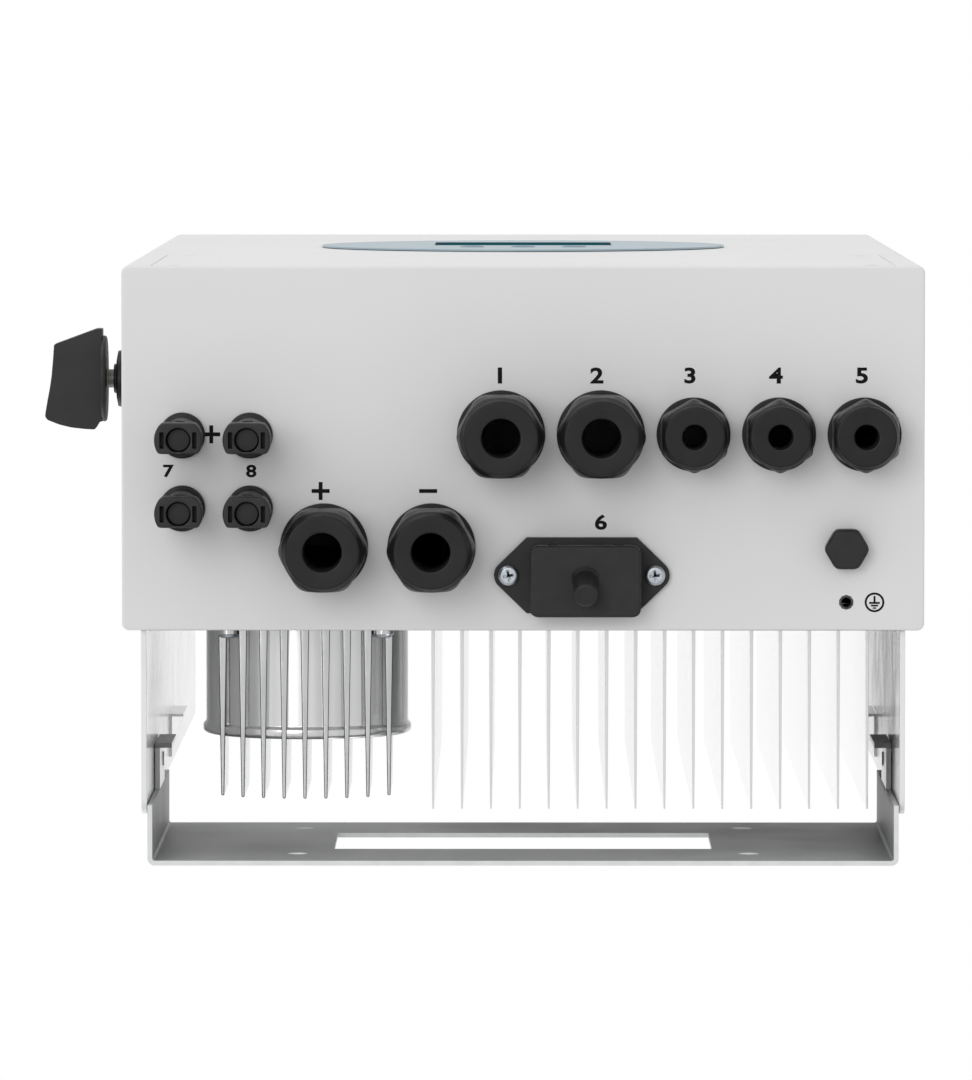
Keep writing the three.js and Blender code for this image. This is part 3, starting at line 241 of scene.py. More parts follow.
def cast_aluminium_fin():
    """The can's cast fins and lugs, ground and polished: pale and bright, faintly streaked."""
    return finish("cast_aluminium_fin", "#dadbdc", 0.16, 1.0, shades=((3, 40, 3), "#d2d3d4", "#e2e3e3"),
                  gleam=(2, 0.12, 0.2))


def fin_edge_painted_shade():
    """The rounded edges of the cast fins, painted darker than the fins: painted shade in thin lines beside
    each fin.
    """
    return finish("fin_edge_painted_shade", "#5f6062", 0.5, 0.6, shades=(3, "#5a5b5d", "#666769"))


def dark_insert_steel():
    """The earth insert's steel: a dull dark grey, far darker than the screws' zinc, a plain grey rim round
    its thread.
    """
    return finish("dark_insert_steel", "#626466", 0.5, 1.0, shades=(1, "#5c5e60", "#6a6c6e"))


def moulded_black_nylon():
    """Glands and switch in glass-filled nylon: near black, satin, with a spark-eroded grain."""
    return finish("moulded_black_nylon", "#141415", 0.42, shades=(8, "#121213", "#171718"),
                  gleam=(3, 0.36, 0.48), skin=(0.5, 0.012), IOR=1.53, Specular_IOR_Level=0.25)


def moulded_socket_nylon():
    """The plastic of the sockets, data port and vent: the same black, a shade paler and duller."""
    return finish("moulded_socket_nylon", "#212122", 0.5, shades=(6, "#1f1f20", "#242425"),
                  skin=(0.5, 0.01), IOR=1.53, Specular_IOR_Level=0.3)


def moulded_grip_nylon():
    """The switch knob in finer moulded nylon: softer sheen and an even, dark black."""
    return finish("moulded_grip_nylon", "#1b1b1c", 0.5, shades=(14, "#19191a", "#1f1f20"),
                  skin=(0.35, 0.015), IOR=1.53, Specular_IOR_Level=0.35)


def black_seal_rubber():
    """Moulded rubber in seals and gasket: dead black, with a dusty bloom."""
    return finish("black_seal_rubber", "#161616", 0.8, shades=(4, "#121212", "#1d1d1c"), skin=(0.6, 0.02),
                  IOR=1.52)


def zinc_plated_steel():
    """Screws with bright zinc: cool, clean metal with slight clouds."""
    return finish("zinc_plated_steel", "#b6bcc1", 0.42, 1.0, shades=(1.6, "#adb3b9", "#bfc5ca"),
                  gleam=(1, 0.38, 0.46))


def turned_steel_spindle():
    """The switch spindle, turned bar: grey metal with rings of the tool."""
    return finish("turned_steel_spindle", "#70706b", 0.42, 1.0,
                  shades=((0.35, 30, 30), "#686863", "#797974"), skin=((0.3, 30, 30), 0.006))


def printed_panel_film():
    """Back-printed polycarbonate film: even blue grey under a fine satin skin."""
    return finish("printed_panel_film", "#90a4ae", 0.38, shades=(50, "#8fa3ad", "#91a5af"),
                  skin=(0.5, 0.006), IOR=1.58)


def moulded_button():
    """Moulded plastic keys, a shade darker than the film round them."""
    return finish("moulded_button", "#7f939d", 0.5, shades=(3, "#7b8f99", "#8498a2"), skin=(0.4, 0.008),
                  IOR=1.5, Specular_IOR_Level=0.2)


def display_glass():
    """The switched-off screen: deep teal under glare-free glass, with the faint grid of its dots."""
    material, tree, shader = new_finish("display_glass", "#1f5560", 0.45, IOR=1.52, Specular_IOR_Level=0.0)
    bricks(tree, shader, 0.5, 0.08, ("#1f5560", "#205863", "#184852"), brick=(1.0, 1.0), offset=0.0)
    return material


def display_bezel():
    """The screen's moulded frame: dark petrol plastic, so finely textured that nothing shines."""
    return finish("display_bezel", "#2c4a52", 0.5, shades=(6, "#2a474f", "#304f57"), skin=(0.5, 0.008),
                  IOR=1.5, Specular_IOR_Level=0.0)


def screen_printed_ink():
    """Black ink printed on the paint: flat, slightly broken at the edge of each grain."""
    return finish("screen_printed_ink", "#060606", 0.6, shades=(1.5, "#040404", "#0a0a0a"),
                  Specular_IOR_Level=0.15)


def green_solder_mask():
    """Circuit boards under green lacquer: glossy, with paler tracks below it."""
    material, tree, shader = new_finish("green_solder_mask", "#1f5b3a", 0.28, IOR=1.55)
    bricks(tree, shader, 6, 0.06, ("#1d5737", "#226340", "#3c8457"), brick=(0.5, 0.25), offset=0.5)
    return material


def enamelled_copper_wire():
    """The choke's winding: red-brown wires side by side round the core."""
    return finish("enamelled_copper_wire", "#a45c33", 0.3, 1.0, shades=((2.5, 40, 2.5), "#8a4826", "#bf7043"),
                  skin=((1.5, 60, 1.5), 0.2), shade_ends=(0.4, 0.6))


def capacitor_sleeve():
    """Shrink sleeve on the capacitors: very dark blue, glossy and slightly wavy."""
    return finish("capacitor_sleeve", "#1c2230", 0.25, shades=(20, "#191f2c", "#222a3a"), skin=(6, 0.05),
                  IOR=1.5)


def terminal_thermoset():
    """Terminal blocks in moulded grey-green plastic: matt, faintly mottled."""
    return finish("terminal_thermoset", "#5d7a68", 0.5, shades=(5, "#58745f", "#66836f"),
                  skin=(0.5, 0.012), IOR=1.5)


# Mesh making

SMOOTH_UNDER = 35
BEVEL_OVER = 40
LONGEST_EASE = 0.45


def smooth_again(piece, angle=SMOOTH_UNDER):
    """Shades a piece smooth where its faces meet by less than an angle in degrees."""
    piece.data.shade_smooth()
    piece.data.set_sharp_from_angle(angle=math.radians(angle))


def linked(name, mesh, material):
    """Puts a mesh into the scene as a piece of one material."""
    mesh.materials.append(material)
    piece = bpy.data.objects.new(name, mesh)
    scene.collection.objects.link(piece)
    return piece


def plain_piece(name, material, points, faces=()):
    mesh = bpy.data.meshes.new(name)
    mesh.from_pydata(points, [], faces)
    return linked(name, mesh, material)


def link_piece(name, shell, material):
    """Makes a closed shell of mesh into a piece, smooth where its faces meet flatly."""
    mesh = bpy.data.meshes.new(name)
    shell.to_mesh(mesh)
    shell.free()
    piece = linked(name, mesh, material)
    smooth_again(piece)
    return piece


def opened(mesh):
    """A mesh as a shell that can be worked on."""
    shell = bmesh.new()
    shell.from_mesh(mesh)
    return shell


def applied(piece):
    """Turns a piece with its modifiers into a plain mesh."""
    bpy.context.view_layer.update()
    shown = piece.evaluated_get(bpy.context.evaluated_depsgraph_get())
    mesh = bpy.data.meshes.new_from_object(shown)
    old = piece.data
    piece.modifiers.clear()
    piece.data = mesh
    if old.users == 0:
        bpy.data.meshes.remove(old)


def dress(piece, body, slot, *nodes):
    """Lets a piece ride on its body and hides the solids that it stands for. The finish slot is not used.
    Its wide faces keep their own direction, so they mirror flatly up to their edges."""
    step = piece.modifiers.new("wide faces lead", "WEIGHTED_NORMAL")
    step.mode = "FACE_AREA"
    step.keep_sharp = True
    applied(piece)
    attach(piece, body)
    if nodes:
        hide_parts(*nodes)


def corners(low, high):
    return [(low[0], low[1]), (high[0], low[1]), (high[0], high[1]), (low[0], high[1])]


def eased(points, radius, closed=True, steps=3):
    """An outline with each of its corners rounded."""
    result = []
    for i, point in enumerate(points):
        corner = Vector(point)
        if not closed and i in (0, len(points) - 1):
            result.append(tuple(corner))
            continue
        before = Vector(points[i - 1]) - corner
        after = Vector(points[(i + 1) % len(points)]) - corner
        reach = min(radius, LONGEST_EASE * before.length, LONGEST_EASE * after.length)
        start = corner + before.normalized() * reach
        end = corner + after.normalized() * reach
        for step in range(steps + 1):
            t = step / steps
            result.append(tuple((1 - t) ** 2 * start + 2 * t * (1 - t) * corner + t ** 2 * end))
    return result


TURN_TO = {
    "up": Matrix.Identity(4),
    "rear": Matrix.Rotation(-QUARTER_TURN, 4, "X"),
    "left": Matrix.Rotation(-QUARTER_TURN, 4, "Y"),
}


def ring_shell(levels, centre, towards="up", steps=64):
    """A closed shell of rings. Each level is (radius, height), and its radius may depend on the angle.
    Ends on the axis close in a point, and other shells close on themselves round their bore."""
    shell = bmesh.new()
    loops = []
    for radius, height in levels:
        size = radius if callable(radius) else lambda angle, r=radius: r
        if size(0) < 0.001:
            loops.append([shell.verts.new((0, 0, height * MM))])
            continue
        loop = []
        for i in range(steps):
            angle = i * FULL_TURN / steps
            r = size(angle) * MM
            loop.append(shell.verts.new((r * math.cos(angle), r * math.sin(angle), height * MM)))
        loops.append(loop)
    if len(loops[0]) > 1:
        loops.append(loops[0])
    for low, high in zip(loops, loops[1:]):
        for i in range(steps):
            j = (i + 1) % steps
            around = [low[i % len(low)], low[j % len(low)], high[j % len(high)], high[i % len(high)]]
            shell.faces.new(list(dict.fromkeys(around)))
    bmesh.ops.recalc_face_normals(shell, faces=shell.faces)
    shell.transform(Matrix.Translation(Vector(centre) * MM) @ TURN_TO[towards])
    return shell


def rod(radius, low, high):
    """The profile of a plain rod."""
    return [(0, low), (radius, low), (radius, high), (0, high)]


def turned(name, profile, centre, material, towards="up", steps=64):
    """A turned piece from its profile of (radius, height)."""
    return link_piece(name, ring_shell(profile, centre, towards, steps), material)


def round_edges(shell, edges, size, steps=2):
    bmesh.ops.bevel(shell, geom=edges, offset=size * MM, segments=steps, profile=0.5, affect="EDGES",
                    clamp_overlap=True)


def plate_shell(outline, low, high, edge=0.0, edge_steps=2):
    """An outline in X and Y made thick along Z, its rims rounded."""
    shell = bmesh.new()
    floor = shell.faces.new([shell.verts.new((x * MM, y * MM, low * MM)) for x, y in outline])
    lifted = bmesh.ops.extrude_face_region(shell, geom=[floor])
    top = [part for part in lifted["geom"] if isinstance(part, bmesh.types.BMVert)]
    bmesh.ops.translate(shell, verts=top, vec=(0, 0, (high - low) * MM))
    bmesh.ops.recalc_face_normals(shell, faces=shell.faces)
    if edge:
        rims = [e for e in shell.edges if abs(e.verts[0].co.z - e.verts[1].co.z) < 0.0001 * MM]
        round_edges(shell, rims, edge, edge_steps)
    return shell


def cushion_shell(centre, half, low, high, corner, corner_steps, edge=0.0, edge_steps=2):
    """A plate with rounded corners, given by its centre and half its size in X and Y."""
    box = corners((centre[0] - half[0], centre[1] - half[1]), (centre[0] + half[0], centre[1] + half[1]))
    return plate_shell(eased(box, corner, steps=corner_steps), low, high, edge, edge_steps)


def block_shell(low, high, edge=0.0):
    """A block between two corners, with rounded edges."""
    shell = bmesh.new()
    bmesh.ops.create_cube(shell, size=1)
    for vertex in shell.verts:
        vertex.co = [(a + b) / 2 * MM + side * (b - a) * MM for side, a, b in zip(vertex.co, low, high)]
    if edge:
        round_edges(shell, list(shell.edges), edge)
    return shell


def pad_shell(centre, half, low, high, edge=0.0):
    """A block over a rectangle that is given by its centre and half its size in X and Y."""
    return block_shell((centre[0] - half[0], centre[1] - half[1], low),
                       (centre[0] + half[0], centre[1] + half[1], high), edge)


def merged(name, material, *shells):
    """Several closed shells as one piece."""
    whole = bmesh.new()
    for shell in shells:
        part = bpy.data.meshes.new("part")
        shell.to_mesh(part)
        shell.free()
        whole.from_mesh(part)
        bpy.data.meshes.remove(part)
    return link_piece(name, whole, material)


def fuse(piece, shell, how="UNION"):
    """Joins a shell to a piece."""
    other = link_piece("other", shell, piece.data.materials[0])
    step = piece.modifiers.new("fuse", "BOOLEAN")
    step.object = other
    step.operation = how
    step.solver = "EXACT"
    applied(piece)
    bpy.data.objects.remove(other)


def cut(piece, shell):
    """Cuts a shell out of a piece."""
    fuse(piece, shell, "DIFFERENCE")


def rounded(piece, edge, steps=2):
    """Rounds the sharp edges of a piece."""
    bevel = piece.modifiers.new("edges", "BEVEL")
    bevel.width = edge * MM
    bevel.segments = steps
    bevel.limit_method = "ANGLE"
    bevel.angle_limit = math.radians(BEVEL_OVER)
    applied(piece)
    smooth_again(piece)
    return piece


def softened(node, name, material, edge):
    """A copy of a solid with merged corners and slightly rounded edges."""
    shell = opened(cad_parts[node].data)
    bmesh.ops.remove_doubles(shell, verts=shell.verts, dist=0.01 * MM)
    bmesh.ops.dissolve_limit(shell, angle_limit=math.radians(1), verts=shell.verts, edges=shell.edges)
    return rounded(link_piece(name, shell, material), edge)


# Geometry trees

PLAIN_NUMBERS = ("Count", "Round")
SCREW_SEED = 7
SCREW_CHANCE_TURN = 0.25


def new_tree(name, sizes):
    """A geometry tree with named sizes as its inputs."""
    tree = bpy.data.node_groups.new(name, "GeometryNodeTree")
    tree.interface.new_socket("Geometry", in_out="INPUT", socket_type="NodeSocketGeometry")
    tree.interface.new_socket("Geometry", in_out="OUTPUT", socket_type="NodeSocketGeometry")
    for title in sizes:
        kind = "NodeSocketInt" if title == "Count" else "NodeSocketFloat"
        tree.interface.new_socket(title, in_out="INPUT", socket_type=kind)
    return tree, add_node(tree, "NodeGroupInput").outputs


def figure(tree, operation, *values):
    """The result of one sum."""
    return add_node(tree, "ShaderNodeMath", dict(enumerate(values)), operation=operation).outputs[0]


def product(tree, *values):
    return figure(tree, "MULTIPLY", *values)


def vector(tree, x=0.0, y=0.0, z=0.0):
    return add_node(tree, "ShaderNodeCombineXYZ", {"X": x, "Y": y, "Z": z}).outputs[0]


def position(tree):
    """The X, Y and Z of each point."""
    place = add_node(tree, "GeometryNodeInputPosition").outputs[0]
    return add_node(tree, "ShaderNodeSeparateXYZ", {0: place}).outputs


def moved(tree, geometry, z):
    """A node's shape, moved along Z."""
    step = {"Geometry": geometry.outputs[0], "Translation": vector(tree, z=z)}
    return add_node(tree, "GeometryNodeTransform", step).outputs[0]


def finish_tree(tree, geometry, material):
    """Makes the grown shapes real, sets their material and hands them out."""
    real = add_node(tree, "GeometryNodeRealizeInstances", {"Geometry": geometry})
    painted = add_node(tree, "GeometryNodeSetMaterial", {"Geometry": real.outputs[0], "Material": material})
    add_node(tree, "NodeGroupOutput", {"Geometry": painted.outputs[0]})
    return tree


def grown(name, tree, points, material, sizes):
    """Grows a tree on points and keeps the result as a plain mesh. Lengths are in mm."""
    piece = plain_piece(name, material, [tuple(Vector(point) * MM) for point in points])
    step = piece.modifiers.new("grow", "NODES")
    step.node_group = tree
    for item in tree.interface.items_tree:
        if item.in_out == "INPUT" and item.name in sizes:
            value = sizes[item.name]
            step[item.identifier] = value if item.name in PLAIN_NUMBERS else float(value * MM)
    applied(piece)
    smooth_again(piece)
    return piece


def fin_row_tree(material):
    """A row of straight fins that get thinner towards their tips and end on a circle."""
    tree, size = new_tree("row_of_fins", ("Count", "Pitch", "Root Thickness", "Tip Thickness", "Reach",
                                          "Height", "Circle Radius"))
    blank = add_node(tree, "GeometryNodeMeshCube", {"Size": vector(tree, 1.0, size["Reach"], size["Height"])})
    along = position(tree)
    share = figure(tree, "ADD", figure(tree, "DIVIDE", along["Y"], size["Reach"]), 0.5)
    thickness = add_node(tree, "ShaderNodeMapRange",
                         {"Value": share, "To Min": size["Root Thickness"], "To Max": size["Tip Thickness"]})
    from_root = figure(tree, "ADD", along["Y"], product(tree, size["Reach"], 0.5))
    thinner = vector(tree, product(tree, along["X"], thickness.outputs[0]), from_root, along["Z"])
    fin = add_node(tree, "GeometryNodeSetPosition", {"Geometry": blank.outputs[0], "Position": thinner})
    middle_of_row = product(tree, figure(tree, "SUBTRACT", size["Count"], 1.0), -0.5)
    row = add_node(tree, "GeometryNodeMeshLine",
                   {"Count": size["Count"], "Offset": vector(tree, size["Pitch"]),
                    "Start Location": vector(tree, product(tree, middle_of_row, size["Pitch"]))})
    off_centre = figure(tree, "DIVIDE", position(tree)["X"], size["Circle Radius"])
    squared = figure(tree, "SUBTRACT", 1.0, product(tree, off_centre, off_centre))
    shorter = vector(tree, 1.0, 1.0, figure(tree, "SQRT", squared))
    fins = add_node(tree, "GeometryNodeInstanceOnPoints",
                    {"Points": row.outputs[0], "Instance": fin.outputs[0], "Scale": shorter})
    return finish_tree(tree, fins.outputs[0], material)


def screw_tree(material, facing):
    """Cross-head screws on points, each stopped at its own chance turn. The head looks one way."""
    tree, size = new_tree("cross_head_screws", ("Face Diameter", "Seat Diameter", "Head Height", "Round",
                                                "Shank Diameter", "Shank Length", "Cross Length",
                                                "Cross Width", "Cross Depth"))
    half = {title: product(tree, size[title], 0.5)
            for title in ("Face Diameter", "Seat Diameter", "Shank Diameter", "Shank Length")}
    blank = add_node(tree, "GeometryNodeMeshCylinder",
                     {"Vertices": 32, "Side Segments": 6, "Radius": 1.0, "Depth": 1.0})
    along = position(tree)
    share = figure(tree, "ADD", along["Z"], 0.5)
    width = add_node(tree, "ShaderNodeMapRange", {"Value": share, "To Min": half["Seat Diameter"],
                                                  "To Max": half["Face Diameter"]}).outputs[0]
    dome = product(tree, figure(tree, "POWER", share, 4.0), size["Round"])
    radius = product(tree, width, figure(tree, "SUBTRACT", 1.0, dome))
    shaped = vector(tree, product(tree, along["X"], radius), product(tree, along["Y"], radius),
                    product(tree, share, size["Head Height"]))
    head = add_node(tree, "GeometryNodeSetPosition", {"Geometry": blank.outputs[0], "Position": shaped})
    cross = add_node(tree, "GeometryNodeMeshBoolean", operation="UNION")
    for along_x, along_y in (("Cross Length", "Cross Width"), ("Cross Width", "Cross Length")):
        arm_size = vector(tree, size[along_x], size[along_y], size["Cross Depth"])
        arm = add_node(tree, "GeometryNodeMeshCube", {"Size": arm_size})
        tree.links.new(moved(tree, arm, size["Head Height"]), cross.inputs["Mesh 2"])
    recessed = add_node(tree, "GeometryNodeMeshBoolean",
                        {"Mesh 1": head.outputs[0], "Mesh 2": cross.outputs[0]}, operation="DIFFERENCE")
    shank = add_node(tree, "GeometryNodeMeshCylinder",
                     {"Vertices": 24, "Radius": half["Shank Diameter"], "Depth": size["Shank Length"]})
    screw = add_node(tree, "GeometryNodeJoinGeometry", {"Geometry": recessed.outputs[0]})
    lowered = moved(tree, shank, product(tree, half["Shank Length"], -1.0))
    tree.links.new(lowered, screw.inputs["Geometry"])
    turn = add_node(tree, "FunctionNodeRandomValue", {"Max": SCREW_CHANCE_TURN, "Seed": SCREW_SEED},
                    data_type="FLOAT")
    aimed = add_node(tree, "FunctionNodeAlignRotationToVector", {"Vector": facing}, axis="Z")
    twist = add_node(tree, "FunctionNodeAxisAngleToRotation",
                     {"Axis": (0.0, 0.0, 1.0), "Angle": turn.outputs["Value"]})
    rotation = add_node(tree, "FunctionNodeRotateRotation",
                        {"Rotation": aimed.outputs[0], "Rotate By": twist.outputs[0]}, rotation_space="LOCAL")
    screws = add_node(tree, "GeometryNodeInstanceOnPoints",
                      {"Points": size["Geometry"], "Instance": screw.outputs[0],
                       "Rotation": rotation.outputs[0]})
    return finish_tree(tree, screws.outputs[0], material)


# Housing, covers and bracket

SHEET_SMOOTH_UNDER = 50


def sheet_steel_pieces(powder, wet_paint):
    """The bent and welded sheet pieces, each with broken edges as after deburring."""
    for node, paint, edge, body in (("housing", powder, 0.35, "inverter"),
                                    ("side_plate_right", wet_paint, 0.4, "inverter"),
                                    ("side_plate_left", wet_paint, 0.4, "inverter"),
                                    ("wiring_partition", powder, 0.3, "inverter"),
                                    ("wiring_cover", powder, 0.8, "wiring_cover")):
        piece = softened(node, node + "_sheet", paint, edge)
        smooth_again(piece, SHEET_SMOOTH_UNDER)
        dress(piece, body, "powder_coat", node)


# The bracket's plain arms end at the first depth, and the lips of its hooks lie beyond the second.
ARM_FRONT = -25.0
LIP_REAR = -42.0
WIDEST_CUT_EDGE = 2.4
BRACKET_EDGE = 0.2
# A face looks sideways, or lies on a bend, when parts of its direction are above these.
SIDEWAYS = 0.7
ON_A_BEND = 0.1


def hanging_bracket(paint, edge_highlight, hook_highlight_paint):
    """The bent bracket. Its narrow cut edges are painted paler than its faces, a painted highlight, and its
    hooks take the paler, glossier side-plate paint: partly real gloss, partly a painted highlight.
    """
    bracket = softened("wall_bracket", "hanging_bracket", paint, BRACKET_EDGE)
    shell = opened(bracket.data)
    for depth in (ARM_FRONT, LIP_REAR):
        bmesh.ops.bisect_plane(shell, geom=[*shell.verts, *shell.edges, *shell.faces], dist=0.001 * MM,
                               plane_co=(0, depth * MM, 0), plane_no=(0, 1, 0))
    shell.to_mesh(bracket.data)
    shell.free()
    bracket.data.materials.append(edge_highlight)
    bracket.data.materials.append(hook_highlight_paint)
    for face in bracket.data.polygons:
        points = [bracket.data.vertices[i].co for i in face.vertices]
        rim = sum((a - b).length for a, b in zip(points, points[1:] + points[:1]))
        narrow = 2 * face.area < WIDEST_CUT_EDGE * MM * rim
        on_a_bend = min(abs(face.normal.x), abs(face.normal.y)) > ON_A_BEND
        # Hook faces beyond the arms get the pale glossy paint: partly a painted highlight, partly real gloss.
        if face.center.y < ARM_FRONT * MM and abs(face.normal.x) > SIDEWAYS:
            face.material_index = 2
        # Narrow edge faces get the pale colour: a painted highlight.
        elif narrow and not on_a_bend and face.center.y > LIP_REAR * MM:
            face.material_index = 1
    dress(bracket, "bracket", "bracket_paint", "wall_bracket")


# Threads and hexagons

SEAT = 0.3
THREAD_PITCH = 1.5
THREAD_DEPTH = 0.7
CREST = (0.45, 0.6)


def smaller(first, second, sharpness):
    """The smaller of two radii, with a soft change from the one to the other."""
    return (first ** -sharpness + second ** -sharpness) ** (-1 / sharpness)


def hexagon_in_circle(flats, circle, corner=0.0):
    """The radius, by angle, of a hexagon whose corners are rounded off by a circle."""
    def radius(angle):
        slant = (angle - corner) % (math.pi / 3) - math.pi / 6
        return smaller(flats / 2 / math.cos(slant), circle, sharpness=40)
    return radius


def less(radius, by):
    return lambda angle: radius(angle) - by


def thread_rings(radius, low, high, pitch=THREAD_PITCH, depth=THREAD_DEPTH):
    """Thread ridges between two heights, as level rings. A crest spans two shares of the pitch."""
    count = max(1, int(abs(high - low) / pitch))
    step = (high - low) / count
    ridges = []
    for i in range(count):
        start = low + i * step
        ridges += [(radius - depth, start), *((radius, start + share * step) for share in CREST)]
    return ridges + [(radius - depth, high)]


# Cable glands

LARGE_GLAND = {"flats": 33.5, "flange": 36.3, "thread": 25.0, "bore": 15.8, "reach": 40.0, "corner": 0.0}
SMALL_GLAND = {"flats": 27.0, "flange": 30.4, "thread": 20.0, "bore": 10.0, "reach": 29.0,
               "corner": QUARTER_TURN}
GLANDS = {"port_1": LARGE_GLAND, "port_2": LARGE_GLAND, "port_3": SMALL_GLAND, "port_4": SMALL_GLAND,
          "port_5": SMALL_GLAND, "battery_plus": LARGE_GLAND, "battery_minus": LARGE_GLAND}
FLANGE_SHEET = 2.7
HEX_SHARE = 0.18
THREAD_SHARE = 0.62
CHAMFER_SHARE = 0.12
NECK_TOP = 12
SEAL_WALL = 3.1
SEAL_GROOVES = 5
NUT_END_WALL = 4.0


def gland_body(port, size, nylon):
    """Round flange, low hexagon and threaded neck, moulded in one."""
    node = port + "_gland_body"
    bore = size["bore"] / 2 + SEAT
    pocket = bore + SEAL_WALL
    thread = size["thread"] / 2
    rim = size["flange"] / 2
    hex_top = -SEAT - FLANGE_SHEET
    hex_low = hex_top - size["reach"] * HEX_SHARE
    neck_low = -size["reach"] * THREAD_SHARE
    hexagon = hexagon_in_circle(size["flats"], rim, size["corner"])
    levels = [(bore, NECK_TOP - 0.4), (bore + 0.4, NECK_TOP)]
    levels += thread_rings(thread, NECK_TOP, 0.2)
    levels += [(thread - THREAD_DEPTH, -SEAT), (rim - 0.4, -SEAT), (rim - 0.1, -SEAT - 0.15),
               (rim, -SEAT - 0.5), (rim, hex_top + 0.5), (rim - 0.15, hex_top + 0.15), (rim - 0.5, hex_top),
               (less(hexagon, 0.7), hex_top), (less(hexagon, 0.45), hex_top - 0.1),
               (less(hexagon, 0.3), hex_top - 0.4), (less(hexagon, 0.3), hex_low + 0.5),
               (less(hexagon, 0.45), hex_low + 0.15), (less(hexagon, 0.8), hex_low)]
    levels += thread_rings(thread + THREAD_DEPTH, hex_low, neck_low)
    levels += [(pocket, neck_low), (pocket, hex_top), (bore, hex_top)]
    body = turned(port + "_moulded_body", levels, under(node), nylon, steps=72)
    dress(body, "inverter", "black_nylon", node)


def gland_seal(port, size, rubber):
    """Rubber seal ring with shallow grooves that close on the cable."""
    node = port + "_gland_seal"
    bore = size["bore"] / 2
    wall = bore + SEAL_WALL
    low = -size["reach"] + NUT_END_WALL + SEAT
    high = -2 * SEAT - FLANGE_SHEET
    levels = [(bore + 0.8, low), (wall - 0.6, low), (wall, low + 0.6), (wall, high - 0.4), (wall - 0.4, high),
              (bore + 0.4, high)]
    step = (high - low) / (SEAL_GROOVES + 1)
    for i in range(SEAL_GROOVES):
        z = high - (i + 0.6) * step
        levels += [(bore, z), (bore, z - 0.35 * step), (bore + 0.6, z - 0.5 * step),
                   (bore + 0.6, z - 0.65 * step)]
    levels.append((bore, low + 0.8))
    seal = turned(port + "_rubber_seal", levels, under(node), rubber)
    dress(seal, "inverter", "black_rubber", node)


def gland_nut(port, size, nylon):
    """Domed cap nut: its hexagon runs out into a rounded end with a flat ring round the bore."""
    node = port + "_gland_nut"
    bore = size["bore"] / 2
    inner = size["thread"] / 2 + THREAD_DEPTH + SEAT
    rim = size["flange"] / 2
    flat = size["flats"] / 2
    top = -2 * SEAT - FLANGE_SHEET - size["reach"] * HEX_SHARE
    end = -size["reach"]
    chamfer = size["reach"] * CHAMFER_SHARE
    flat_ring = flat - chamfer / 3
    dome = [(flat_ring - 1.5, end), (flat_ring - 0.35, end), (flat_ring + 0.15, end + 0.5),
            (flat_ring + 0.2, end + 1.0), (flat + 0.1, end + 0.75 * chamfer),
            (rim, end + 2 * chamfer), (rim, top - 1)]
    levels = [(inner, top), (inner, end + NUT_END_WALL), (bore, end + NUT_END_WALL),
              (bore, end + 0.7), (bore + 0.2, end + 0.2), (bore + 0.7, end)]
    for radius, height in eased(dome, 0.4, closed=False):
        levels.append((hexagon_in_circle(size["flats"], radius, size["corner"]), height))
    whole = hexagon_in_circle(size["flats"], rim, size["corner"])
    levels += [(whole, top - 0.4), (less(whole, 0.15), top - 0.1), (less(whole, 0.5), top)]
    nut = turned(port + "_cap_nut", levels, under(node), nylon, steps=96)
    dress(nut, port + "_nut", "black_nylon", node)


# Solar connectors

SOLAR_REACH = 48.0
SOLAR_FLANGE = 9.45
LATCH_OUT = 6.65
LATCH_HALF = (0.9, 3.35)
LATCH_DEPTH = 6


def solar_block(angle, radius=9.8, front=7.0, rear=5.6, far=60.0):
    """The radius of a round block that is cut flat at its front and its rear."""
    across = math.sin(angle)
    flat = front / -across if across < 0 else rear / max(across, 1e-6)
    return smaller(radius, min(flat, far), sharpness=24)


def solar_connector(number, nylon):
    """Round socket on a flange, with a flattened block at its mouth, two latch slots and the sleeve
    of its contact just inside the mouth."""
    node = f"solar_connector_{number}"
    x = middle(node).x
    y = box_of(node)[1].y - SOLAR_FLANGE
    end = -SOLAR_REACH
    floor = end + 4.6
    inside = end + 30
    block = solar_block
    block_top = end + 14
    foot = -4
    rim = SOLAR_FLANGE
    sleeve = 4.6
    mouth = 4.95
    barrel = 7.5
    thread = 6.5
    thread_top = 16
    levels = [(0, floor), (sleeve - 0.3, floor), (sleeve, floor + 0.3), (sleeve, inside), (mouth, inside),
              (mouth, end + 0.6), (mouth + 0.15, end + 0.15), (mouth + 0.55, end),
              (less(block, 0.9), end), (less(block, 0.35), end + 0.1), (less(block, 0.1), end + 0.35),
              (block, end + 0.9), (block, block_top - 0.8), (less(block, 0.2), block_top - 0.2),
              (less(block, 0.9), block_top), (barrel, block_top), (barrel, foot - 2),
              (barrel + 0.2, foot - 1), (barrel + 0.8, foot - 0.2), (rim - 0.45, foot),
              (rim - 0.1, foot + 0.2), (rim, foot + 0.6), (rim, -SEAT - 0.4), (rim - 0.2, -SEAT - 0.05),
              (rim - 0.55, -SEAT)]
    levels += thread_rings(thread, -SEAT, thread_top - 0.5)
    levels += [(thread - 1.1, thread_top), (0, thread_top)]
    connector = turned(node + "_socket", levels, (x, y, BOTTOM), nylon, steps=96)
    for side in (-1, 1):
        cut(connector, pad_shell((x + side * LATCH_OUT, y), LATCH_HALF, BOTTOM + end - 1,
                                 BOTTOM + end + LATCH_DEPTH, 0.3))
    smooth_again(connector)
    dress(connector, "inverter", "black_nylon", node)


# Data port

